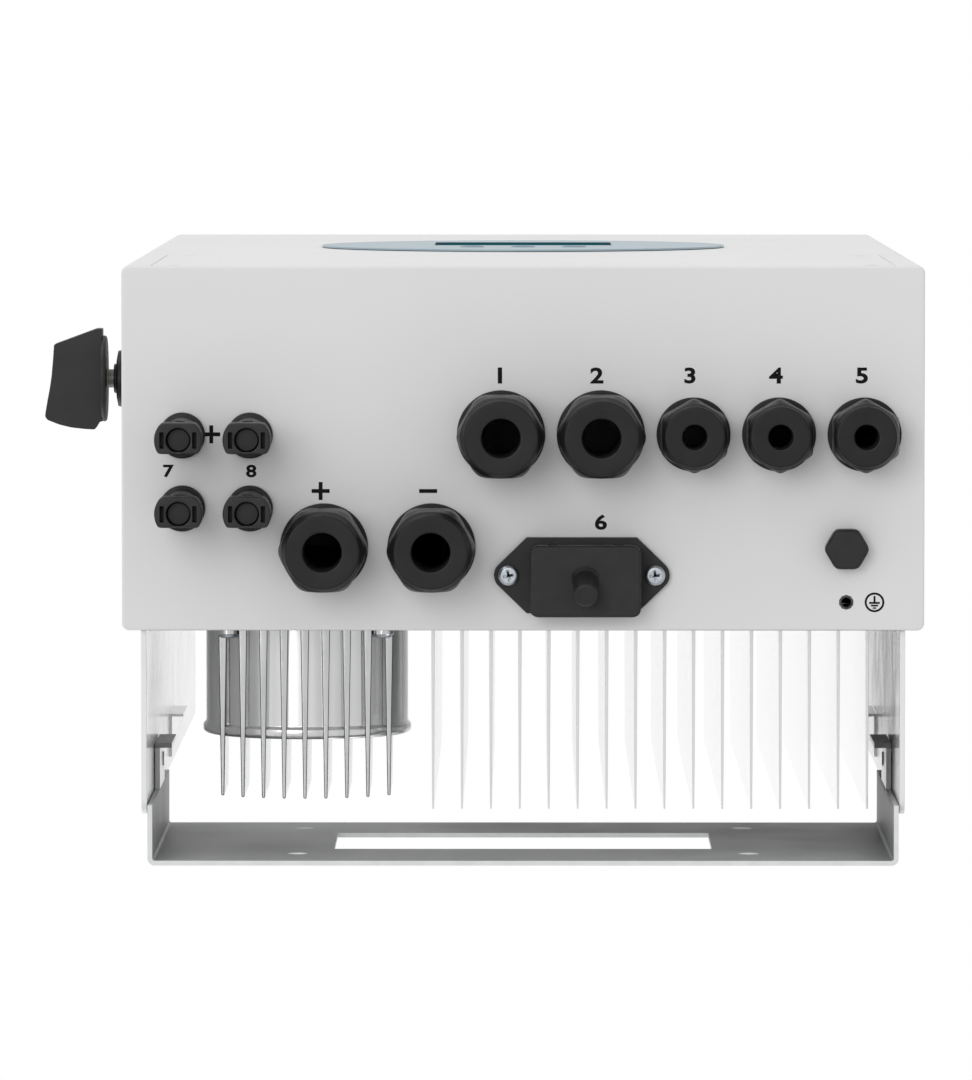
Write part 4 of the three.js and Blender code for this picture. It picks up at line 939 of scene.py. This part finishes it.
PORT_SCREWS = ("data_port_screw_left", "data_port_screw_right")
PORT_SCREW = {"Face Diameter": 8.5, "Seat Diameter": 8.5, "Head Height": 2.6, "Round": 0.32,
              "Shank Diameter": 3.6, "Shank Length": 10.4, "Cross Length": 4.8, "Cross Width": 1.1,
              "Cross Depth": 3.2}
PORT_TOP = BOTTOM - SEAT
PORT_SHEET = 3
PORT_HALF = (22.65, 15.6)
EAR_RADIUS = 6
SCREW_HOLE = 2.1
PLUG_HALF = (17, 9)
PLUG_REACH = 12
SOCKET_HALF = (15, 7)
CAP_HALF = (22.8, 14.7)
CAP_HEIGHT = 13
CAP_WALL = 3
POCKET_HALF = (17.3, 9.3)
NOTCH_OUT = 13.5
NOTCH_FORWARD = 14.35
NOTCH_HALF = (2, 1.65)
STUB_TILT = 18


def ear(x, y, side):
    """The round end of the flange about a screw."""
    angles = [math.radians(degrees) for degrees in range(-45, 46, 9)]
    return [(x + side * EAR_RADIUS * math.cos(a), y + side * EAR_RADIUS * math.sin(a)) for a in angles]


def data_port_flange(nylon, cap_at):
    """Six-sided flange with a plug shell in its middle and a hole for each screw."""
    left, right = (middle(node) for node in PORT_SCREWS)
    x = (left.x + right.x) / 2
    y = left.y
    half_x, half_y = PORT_HALF
    outline = [(x - half_x, y - half_y), (x + half_x, y - half_y), *ear(right.x, y, 1),
               (x + half_x, y + half_y), (x - half_x, y + half_y), *ear(left.x, y, -1)]
    flange = link_piece("data_port_plate", plate_shell(outline, PORT_TOP - PORT_SHEET, PORT_TOP, 0.5), nylon)
    fuse(flange, cushion_shell(cap_at, PLUG_HALF, PORT_TOP - PLUG_REACH, BOTTOM + 8, corner=2,
                               corner_steps=5, edge=0.3))
    cut(flange, cushion_shell(cap_at, SOCKET_HALF, PORT_TOP - PLUG_REACH - 1, PORT_TOP - PORT_SHEET,
                              corner=1, corner_steps=4))
    for node in PORT_SCREWS:
        cut(flange, ring_shell(rod(SCREW_HOLE, -40, 40), under(node), steps=32))
    smooth_again(flange)
    dress(flange, "inverter", "black_nylon", "data_port_flange")


def stub_shell(place):
    """The bent stub of the cap, a rod with a rounded end."""
    radius = 5
    end = -16
    stub = ring_shell([(0, end), (radius - 1.4, end), (radius - 0.6, end + 0.2), (radius - 0.15, end + 0.6),
                       (radius, end + 1.2), (radius, -0.9), (radius + 0.2, -0.4), (radius + 0.7, 0.1),
                       (radius + 1.2, 0.9), (0, 1.5)], (0, 0, 0), steps=48)
    stub.transform(Matrix.Translation(Vector(place) * MM) @ Matrix.Rotation(math.radians(STUB_TILT), 4, "X"))
    return stub


def data_port(nylon, zinc):
    """The flange, the cap with its bent stub, and two screws."""
    x = middle("data_port_cap").x
    y = box_of("data_port_cap")[0].y + CAP_HALF[1]
    data_port_flange(nylon, (x, y))
    top = PORT_TOP - PORT_SHEET - SEAT
    low = top - CAP_HEIGHT
    block = cushion_shell((x, y), CAP_HALF, low, top, corner=4, corner_steps=6, edge=0.9, edge_steps=3)
    cap = link_piece("data_port_cover_cap", block, nylon)
    cut(cap, cushion_shell((x, y), POCKET_HALF, low + CAP_WALL, top + 1, corner=2, corner_steps=4))
    for side in (-1, 1):
        notch_at = (x + side * NOTCH_OUT, y - NOTCH_FORWARD)
        cut(cap, pad_shell(notch_at, NOTCH_HALF, low + CAP_WALL, top + 1, 0.2))
    fuse(cap, stub_shell((x, y, low)))
    smooth_again(cap)
    dress(cap, "data_port_cap", "black_nylon", "data_port_cap")
    seats = [(middle(node).x, middle(node).y, top) for node in PORT_SCREWS]
    screws = grown("data_port_screws", screw_tree(zinc, (0.0, 0.0, -1.0)), seats, zinc, PORT_SCREW)
    dress(screws, "inverter", "zinc_steel", *PORT_SCREWS)


# Vent plug and earth point

def vent_plug(nylon):
    """Plug with a chamfered hexagonal head and a threaded shank."""
    end = -9
    face = 7.2
    thread = 6
    top = 10
    hexagon = hexagon_in_circle(flats=16.4, circle=8.95)
    levels = [(0, end), (face, end), (less(hexagon, 0.95), end + 0.05), (less(hexagon, 0.45), end + 0.3),
              (less(hexagon, 0.12), end + 0.8), (hexagon, end + 1.4), (hexagon, -SEAT - 0.6),
              (less(hexagon, 0.3), -SEAT - 0.15), (less(hexagon, 0.7), -SEAT)]
    levels += thread_rings(thread, -SEAT, top - 0.4, pitch=1.2, depth=0.5)
    levels += [(0, top)]
    plug = turned("vent_plug_moulding", levels, under("vent_plug"), nylon, steps=72)
    dress(plug, "inverter", "black_nylon", "vent_plug")


def earth_insert(steel):
    """Pressed-in steel nut whose threaded end is flush with the paint."""
    neck = 2.75
    collar = 4.5
    thread = 2.3
    neck_top = 1.8
    top = 4.8
    levels = [(neck, 0), (neck, neck_top), (collar, neck_top), (collar, top), (thread + 0.1, top)]
    levels += thread_rings(thread, top - 0.2, 0.2, pitch=0.7, depth=0.3)
    levels += [(thread + 0.15, -0.2), (neck - 0.1, -0.2), (neck, -0.1)]
    insert = turned("earth_thread_insert", levels, under("earth_insert"), steel, steps=48)
    dress(insert, "inverter", "zinc_steel", "earth_insert")


# Isolator switch, whose axis points to the left

COLLAR_BORE = 6.45
KNOB_SHEET = 2.1
KNOB_BORE = 4.15
GRIP_HALF_LENGTH = 21.2
GRIP_HALF_WIDTH = 6.5
GRIP_REACH = 24
GRIP_ROOT = 176.0
# Each point is a share of the half length and a share of the reach.
GRIP_OUTLINE = [(-0.85, 0), (-0.99, 0), (-0.99, 0.1), (-0.68, 0.84), (-0.36, 0.86), (-0.05, 0.885),
                (0.18, 0.915), (0.42, 0.955), (0.65, 0.99), (0.74, 1), (0.81, 0.96), (0.905, 0.745),
                (0.96, 0.54), (0.99, 0.31), (1, 0.13), (0.845, 0.05), (0.845, 0)]


def along_switch(node):
    """Where a round piece of the switch starts and ends to the left, and its radius."""
    low, high = box_of(node)
    return -high.x, -low.x, (high.z - low.z) / 2


def isolator_switch(nylon, grip_nylon, steel):
    """Switch body behind the wall, a collar nut outside it, and a knob on a steel spindle."""
    body = softened("dc_switch_body", "switch_body_moulding", nylon, 0.5)
    dress(body, "inverter", "black_nylon", "dc_switch_body")
    axis = (0, SWITCH.y, SWITCH.z)
    start, end, rim = along_switch("dc_switch_collar")
    profile = [(COLLAR_BORE, start), (rim - 0.5, start), (rim, start + 0.4), (rim, end - 1.2),
               (rim - 0.3, end - 0.6), (rim - 3.4, end), (COLLAR_BORE + 0.45, end), (COLLAR_BORE, end - 0.3)]
    collar = turned("switch_collar_nut", profile, axis, nylon, "left")
    dress(collar, "inverter", "black_nylon", "dc_switch_collar")
    start, end, rim = along_switch("dc_switch_spindle")
    profile = [(0, start), (rim - 0.45, start), (rim, start + 0.5), (rim, end - 0.5), (rim - 0.45, end),
               (0, end)]
    spindle = turned("switch_spindle_bar", profile, axis, steel, "left")
    dress(spindle, "dc_switch", "zinc_steel", "dc_switch_spindle")
    bore_end = end + SEAT

    start, _, rim = along_switch("dc_switch_knob")
    end = start + KNOB_SHEET
    profile = [(0, start), (rim - 1.1, start), (rim - 0.4, start + 0.2), (rim, start + 0.8),
               (rim, end - 0.6), (rim - 0.2, end - 0.1), (rim - 0.7, end), (0, end)]
    disc = turned("switch_knob", profile, axis, grip_nylon, "left", 96)
    outline = [(-GRIP_ROOT - out * GRIP_REACH, SWITCH.y + along * GRIP_HALF_LENGTH)
               for along, out in GRIP_OUTLINE]
    low = SWITCH.z - GRIP_HALF_WIDTH
    high = SWITCH.z + GRIP_HALF_WIDTH
    fuse(disc, plate_shell(eased(outline, 0.6, steps=2), low, high, 0.5))
    fuse(disc, block_shell((-GRIP_ROOT - 1.3, SWITCH.y - rim / 2, low),
                           (-GRIP_ROOT + 0.8, SWITCH.y + rim / 2, high)))
    cut(disc, ring_shell(rod(KNOB_BORE, start - 1.2, bore_end), axis, "left", 48))
    smooth_again(disc)
    dress(disc, "dc_switch", "black_nylon", "dc_switch_knob")


# Display

FILM_RADIUS = 89.5
FILM_SHEET = 0.8
FILM_REAR = 1.1
WINDOW_GAP = 0.3
KEY_HOLE = 5.8
BEZEL_WIDTH = 4
GLASS_DEPTH = 0.25
POCKET_DEPTH = 0.9


def key_profile():
    """A domed key with a brim behind the film and a stem to its switch."""
    rim = 5.5
    top = -1.7
    brim = 7
    brim_at = 1.8
    stem = 2
    end = 9.3
    return [(0, top), (rim - 2.3, top + 0.02), (rim - 1.1, top + 0.1), (rim - 0.5, top + 0.25),
            (rim - 0.1, top + 0.55), (rim, top + 0.9), (rim, brim_at), (brim, brim_at), (brim, brim_at + 1),
            (stem, brim_at + 1), (stem, end), (0, end)]


def inset(low, high, by, near, far):
    """The corners of a block inside the screen's box, between two depths behind its front."""
    return (low.x + by, low.y + near, low.z + by), (high.x - by, low.y + far, high.z - by)


def display(film, bezel, glass, key_plastic):
    """Round film panel with the screen behind a window and three keys below it."""
    profile = [(0, 0), (FILM_RADIUS - 0.4, 0), (FILM_RADIUS - 0.1, 0.1), (FILM_RADIUS, 0.4),
               (FILM_RADIUS, FILM_SHEET), (0, FILM_SHEET)]
    place = (0, FRONT - FILM_REAR, middle("display_panel").z)
    panel = turned("display_film_panel", profile, place, film, "rear", 160)
    low, high = box_of("lcd_module")
    cut(panel, block_shell((low.x - WINDOW_GAP, FRONT - 3, low.z - WINDOW_GAP),
                           (high.x + WINDOW_GAP, FRONT + 1, high.z + WINDOW_GAP)))
    for number in (1, 2, 3):
        node = f"button_{number}"
        place = (middle(node).x, FRONT, middle(node).z)
        cut(panel, ring_shell(rod(KEY_HOLE, -3, 3), place, "rear", 48))
        key = turned(f"key_{number}", key_profile(), place, key_plastic, "rear", 48)
        dress(key, node, "button_plastic", node)
    smooth_again(panel)
    dress(panel, "inverter", "panel_film", "display_panel")

    frame_of_screen = link_piece("screen_bezel", block_shell(low, high, 0.15), bezel)
    cut(frame_of_screen, block_shell(*inset(low, high, BEZEL_WIDTH, -1, POCKET_DEPTH)))
    dress(frame_of_screen, "inverter", "display_glass", "lcd_module")
    pane = block_shell(*inset(low, high, BEZEL_WIDTH + 0.05, GLASS_DEPTH, POCKET_DEPTH + 0.05), 0.1)
    dress(link_piece("screen_glass", pane, glass), "inverter", "display_glass", "lcd_module")


# Heat sink and choke

BASE_FRONT = REAR - 9.8
BASE_REAR = REAR - 1.8
FIN_ROOT = REAR - 2.8
FIN_END_GAP = 2
POST_RADIUS = 4
POST_LENGTH = 32.5
POST_FROM_SIDE = 14
POST_HEIGHTS = (178.0, 352.0)
CHOKE_FINS = {"Count": 9, "Pitch": 8.66, "Root Thickness": 3.6, "Tip Thickness": 1.3, "Reach": 71.7,
              "Height": 89, "Circle Radius": 44.5}
# The part along X of the direction of a face where a fin's edge turns
TURNING = (0.5, 0.99)
CAN_END = 47.5
CAN_ROOM = 41.8
LUG_OUT = 45.5
LUG_SCREW = {"Face Diameter": 7.5, "Seat Diameter": 7.5, "Head Height": 1.2, "Round": 0.2,
             "Shank Diameter": 3.8, "Shank Length": 7, "Cross Length": 4.4, "Cross Width": 0.9,
             "Cross Depth": 1.4}


def fin_row(name, metal, place, sizes, edge, steps=2):
    """A row of fins with rounded edges, its roots at a place."""
    fins = grown(name, fin_row_tree(metal), [(0, 0, 0)], metal, sizes)
    fins.data.transform(Matrix.Translation(Vector(place) * MM))
    return rounded(fins, edge, steps)


def heat_sink(aluminium):
    """Extruded base with its posts, and the row of fins that passes out at the rear."""
    low, high = box_of("heat_sink")
    centre = (low + high) / 2
    base = block_shell((low.x, BASE_FRONT, low.z), (high.x, BASE_REAR, high.z), 0.4)
    post = [(0, -POST_LENGTH), (POST_RADIUS - 0.4, -POST_LENGTH), (POST_RADIUS, 0.4 - POST_LENGTH),
            (POST_RADIUS, 0.5), (0, 0.5)]
    posts = [ring_shell(post, (x, BASE_FRONT, z), "rear", 32)
             for x in (low.x + POST_FROM_SIDE, high.x - POST_FROM_SIDE) for z in POST_HEIGHTS]
    dress(merged("heat_sink_base", aluminium, base, *posts), "inverter", "fin_aluminium", "heat_sink")
    sizes = {"Count": 16, "Pitch": 12, "Root Thickness": 1.5, "Tip Thickness": 0.8,
             "Reach": high.y - FIN_ROOT, "Height": high.z - low.z - 2 * FIN_END_GAP, "Circle Radius": 1e6}
    fins = fin_row("heat_sink_fins", aluminium, (centre.x, FIN_ROOT, centre.z), sizes, 0.2)
    dress(fins, "inverter", "fin_aluminium", "heat_sink")


def choke_can(metal):
    """Drawn can with a rolled rim at its closed end."""
    inner = 38.8
    side = 42.3
    rim = 43.6
    floor = 43.5
    end = CAN_END
    profile = [(0, floor), (inner, floor), (inner, SEAT), (side, SEAT), (side, floor - 1.5),
               (side + 0.3, floor - 0.9), (rim - 0.3, floor - 0.3), (rim, floor + 0.4), (rim, end - 1.9),
               (rim - 0.3, end - 1.1), (rim - 1, end - 0.5), (rim - 2, end - 0.1), (rim - 3.6, end), (0, end)]
    dress(turned("choke_can", profile, CHOKE, metal, "rear", 160), "inverter", "cast_aluminium", "choke_pot")


def choke_fins(metal, edge_shade):
    """Nine tapered fins over the can, painted darker where their edges turn: painted shade."""
    fins = fin_row("choke_fins", metal, (CHOKE[0], CHOKE[1] + SEAT, CHOKE[2]), CHOKE_FINS, 0.6, 3)
    cut(fins, ring_shell(rod(CAN_ROOM, -1, CAN_END - 1), CHOKE, "rear", 96))
    smooth_again(fins)
    fins.data.materials.append(edge_shade)
    # Faces where a fin's edge turns get the darker colour: a painted shade line.
    for face in fins.data.polygons:
        if TURNING[0] < abs(face.normal.x) < TURNING[1]:
            face.material_index = len(fins.data.materials) - 1
    dress(fins, "inverter", "cast_aluminium", "choke_pot")


def choke_lugs(metal, zinc):
    """Four lugs on the can, each screwed to the wall."""
    hole = 2.3
    rim = 4.5
    top = 4.5
    profile = [(hole, SEAT), (rim - 0.2, SEAT), (rim, SEAT + 0.2), (rim, top - 0.4), (rim - 0.4, top),
               (hole, top)]
    angles = [(i + 0.5) * FULL_TURN / 4 for i in range(4)]
    places = [(CHOKE[0] + LUG_OUT * math.cos(a), CHOKE[2] + LUG_OUT * math.sin(a)) for a in angles]
    lugs = [ring_shell(profile, (x, CHOKE[1], z), "rear", 40) for x, z in places]
    dress(merged("choke_lugs", metal, *lugs), "inverter", "cast_aluminium", "choke_pot")
    seats = [(x, CHOKE[1] + top, z) for x, z in places]
    screws = grown("choke_lug_screws", screw_tree(zinc, (0.0, 1.0, 0.0)), seats, zinc, LUG_SCREW)
    dress(screws, "inverter", "zinc_steel")


def choke_winding(copper):
    """The wound ring inside the can."""
    width = 18
    corner = 6
    low, high = box_of("choke_toroid")
    outer = (high.x - low.x) / 2
    ring = eased(corners((outer - width, low.y), (outer, high.y)), corner, steps=8)
    winding = turned("choke_winding", ring, (CHOKE[0], 0, CHOKE[2]), copper, "rear", 96)
    dress(winding, "inverter", "copper_winding", "choke_toroid")


# Inside pieces

COVER_SCREW = {"Face Diameter": 7.0, "Seat Diameter": 3.4, "Head Height": 1.25, "Round": 0.0,
               "Shank Diameter": 3.4, "Shank Length": 9.7, "Cross Length": 4.0, "Cross Width": 0.9,
               "Cross Depth": 1.6}
COVER_SCREW_SEAT = FRONT + 1.35


def inside_pieces(board, sleeve, thermoset, nylon):
    """Boards, capacitors and terminal blocks."""
    for node, finish_of_node, slot, edge in (
            ("power_board", board, "circuit_board", 0.15),
            ("control_board", board, "circuit_board", 0.15),
            ("display_board", board, "circuit_board", 0.15),
            ("capacitor_bank", sleeve, "capacitor_sleeve", 0.6),
            ("ac_terminal_block", thermoset, "terminal_plastic", 0.5),
            ("battery_terminal_block", nylon, "black_nylon", 0.5)):
        dress(softened(node, node + "_assembly", finish_of_node, edge), "inverter", slot, node)


def cover_gasket_and_screws(rubber, zinc):
    """What comes off with the wiring cover."""
    gasket = softened("wiring_cover_gasket", "cover_gasket", rubber, 0.3)
    dress(gasket, "wiring_cover", "black_rubber", "wiring_cover_gasket")
    nodes = [f"wiring_cover_screw_{i}" for i in (1, 2, 3, 4)]
    seats = [(middle(node).x, COVER_SCREW_SEAT, middle(node).z) for node in nodes]
    screws = grown("cover_screws", screw_tree(zinc, (0.0, -1.0, 0.0)), seats, zinc, COVER_SCREW)
    dress(screws, "wiring_cover", "zinc_steel", *nodes)


# Printed marks on the bottom face, each with its place and its size

INK_LOW = -0.06
INK_HIGH = 0.02
LETTER_WIDTH = 1.25
PORT_NUMBERS = (("1", -9.5), ("2", 30.3), ("3", 68.5), ("4", 103.8), ("5", 139.1))
PORT_NUMBERS_Y = -202.0
PORT_NUMBERS_HEIGHT = 6.6
OTHER_NUMBERS = (("6", 32.0, -141.7, 6.3), ("7", -145.7, -162.7, 5.2), ("8", -111.7, -162.7, 5.2))
PLUS_SIGNS = ((-128.1, -177.8), (-83.2, -154.5))
MINUS_SIGN = (-39.0, -154.5)
SIGN_SIZE = (7.4, 1.6)
EARTH_SIGN = (144.5, -108.7)
EARTH_RING = (3.2, 4.05)
# Each bar of the earth sign has a distance from the ring's centre, a width and a height.
EARTH_BARS = ((-1.3, 0.8, 2.6), (0.25, 4.4, 0.8), (1.35, 2.9, 0.7), (2.35, 1.4, 0.6))


def number_shell(text, x, y, height):
    """A printed number, read from below with its top towards the front."""
    curve = bpy.data.curves.new("number", "FONT")
    curve.body = text
    curve.extrude = 0.1
    curve.offset = 0.03
    sign = bpy.data.objects.new("number", curve)
    scene.collection.objects.link(sign)
    bpy.context.view_layer.update()
    mesh = bpy.data.meshes.new_from_object(sign.evaluated_get(bpy.context.evaluated_depsgraph_get()))
    shell = opened(mesh)
    bmesh.ops.remove_doubles(shell, verts=shell.verts, dist=1e-5)
    across = [vertex.co.x for vertex in shell.verts]
    up = [vertex.co.y for vertex in shell.verts]
    size = height / (max(up) - min(up))
    for vertex in shell.verts:
        vertex.co = ((x + (vertex.co.x - (max(across) + min(across)) / 2) * size * LETTER_WIDTH) * MM,
                     (y - (vertex.co.y - (max(up) + min(up)) / 2) * size) * MM,
                     (BOTTOM + (INK_LOW if vertex.co.z > 0 else INK_HIGH)) * MM)
    bmesh.ops.recalc_face_normals(shell, faces=shell.faces)
    bpy.data.objects.remove(sign)
    bpy.data.curves.remove(curve)
    bpy.data.meshes.remove(mesh)
    return shell


def bar(x, y, width, height):
    return pad_shell((x, y), (width / 2, height / 2), BOTTOM + INK_LOW, BOTTOM + INK_HIGH)


def plus_shell(x, y, length, stroke):
    end = length / 2
    side = stroke / 2
    outline = [(-end, -side), (-side, -side), (-side, -end), (side, -end), (side, -side), (end, -side),
               (end, side), (side, side), (side, end), (-side, end), (-side, side), (-end, side)]
    return plate_shell([(x + u, y + v) for u, v in outline], BOTTOM + INK_LOW, BOTTOM + INK_HIGH)


def printed_marks(ink):
    """Plain port numbers, the poles of the solar and battery inputs, and the earth sign."""
    shells = [number_shell(text, x, PORT_NUMBERS_Y, PORT_NUMBERS_HEIGHT) for text, x in PORT_NUMBERS]
    shells += [number_shell(*number) for number in OTHER_NUMBERS]
    shells += [plus_shell(*place, *SIGN_SIZE) for place in PLUS_SIGNS]
    shells.append(bar(*MINUS_SIGN, *SIGN_SIZE))
    shells.append(ring_shell(corners((EARTH_RING[0], INK_LOW), (EARTH_RING[1], INK_HIGH)),
                             (*EARTH_SIGN, BOTTOM)))
    x, y = EARTH_SIGN
    shells += [bar(x, y + away, width, height) for away, width, height in EARTH_BARS]
    dress(merged("printed_marks", ink, *shells), "inverter", "black_nylon")


# Stage and light, in metres and watts

ROOM_LIGHT = 0.75
FLOOR_HALF = 30
FLOOR_HEIGHT = -9
LAMPS_LOOK_AT = (0, -0.15, 0.25)
LAMPS = {"lamp_below": ((-1.6, -1.4, -5.2), 2.6, 75), "lamp_front": ((-2.2, -5.8, -0.6), 3.0, 78),
         "lamp_behind": ((-0.8, 3.2, 1.3), 3.0, 40)}


def pale_room():
    """A plain pale room: white behind the object and soft even light round it."""
    world = bpy.data.worlds.new("pale_room")
    world.use_nodes = True
    scene.world = world
    tree = world.node_tree
    tree.nodes.clear()
    path = add_node(tree, "ShaderNodeLightPath").outputs
    seen = figure(tree, "MAXIMUM", path["Is Camera Ray"], path["Is Glossy Ray"])
    seen = figure(tree, "MAXIMUM", seen, path["Is Transmission Ray"])
    light = add_node(tree, "ShaderNodeBackground", {"Color": linear("#ffffff"), "Strength": ROOM_LIGHT})
    white = add_node(tree, "ShaderNodeBackground", {"Color": linear("#ffffff"), "Strength": 1.0})
    both = add_node(tree, "ShaderNodeMixShader", {0: seen, 1: light.outputs[0], 2: white.outputs[0]})
    add_node(tree, "ShaderNodeOutputWorld", {"Surface": both.outputs[0]})
    paint = finish("pale_floor_paint", "#f2f2f2", 0.9, shades=(900, "#f0f0f0", "#f4f4f4"))
    square = corners((-FLOOR_HALF, -FLOOR_HALF), (FLOOR_HALF, FLOOR_HALF))
    floor = plain_piece("pale_floor", paint, [(x, y, FLOOR_HEIGHT) for x, y in square], [(0, 1, 2, 3)])


def soft_lamp(name, place, size, power):
    """A square lamp of soft light, aimed at the object and not seen itself."""
    data = bpy.data.lights.new(name, "AREA")
    data.shape = "SQUARE"
    data.size = size
    data.energy = power
    lamp = bpy.data.objects.new(name, data)
    towards = Vector(LAMPS_LOOK_AT) - Vector(place)
    lamp.matrix_world = Matrix.Translation(place) @ towards.to_track_quat("-Z", "Y").to_matrix().to_4x4()
    lamp.visible_camera = False
    scene.collection.objects.link(lamp)


# The whole

place_camera()
pale_room()
for name, values in LAMPS.items():
    soft_lamp(name, *values)

nylon = moulded_black_nylon()
socket_nylon = moulded_socket_nylon()
rubber = black_seal_rubber()
zinc = zinc_plated_steel()
wet_paint = smooth_painted_steel()
fin_metal = cast_aluminium_fin()

sheet_steel_pieces(powder_coated_steel(), wet_paint)
hanging_bracket(grey_painted_steel(), bracket_edge_painted_highlight(), wet_paint)
for port, gland in GLANDS.items():
    gland_body(port, gland, nylon)
    gland_seal(port, gland, rubber)
    gland_nut(port, gland, nylon)
for number in (1, 2, 3, 4):
    solar_connector(number, socket_nylon)
data_port(socket_nylon, zinc)
vent_plug(socket_nylon)
earth_insert(dark_insert_steel())
isolator_switch(nylon, moulded_grip_nylon(), turned_steel_spindle())
display(printed_panel_film(), display_bezel(), display_glass(), moulded_button())
heat_sink(extruded_aluminium())
choke_can(drawn_aluminium_can())
choke_fins(fin_metal, fin_edge_painted_shade())
choke_lugs(fin_metal, zinc)
choke_winding(enamelled_copper_wire())
inside_pieces(green_solder_mask(), capacitor_sleeve(), terminal_thermoset(), nylon)
cover_gasket_and_screws(rubber, zinc)
printed_marks(screen_printed_ink())

scene.view_settings.view_transform = "Standard"
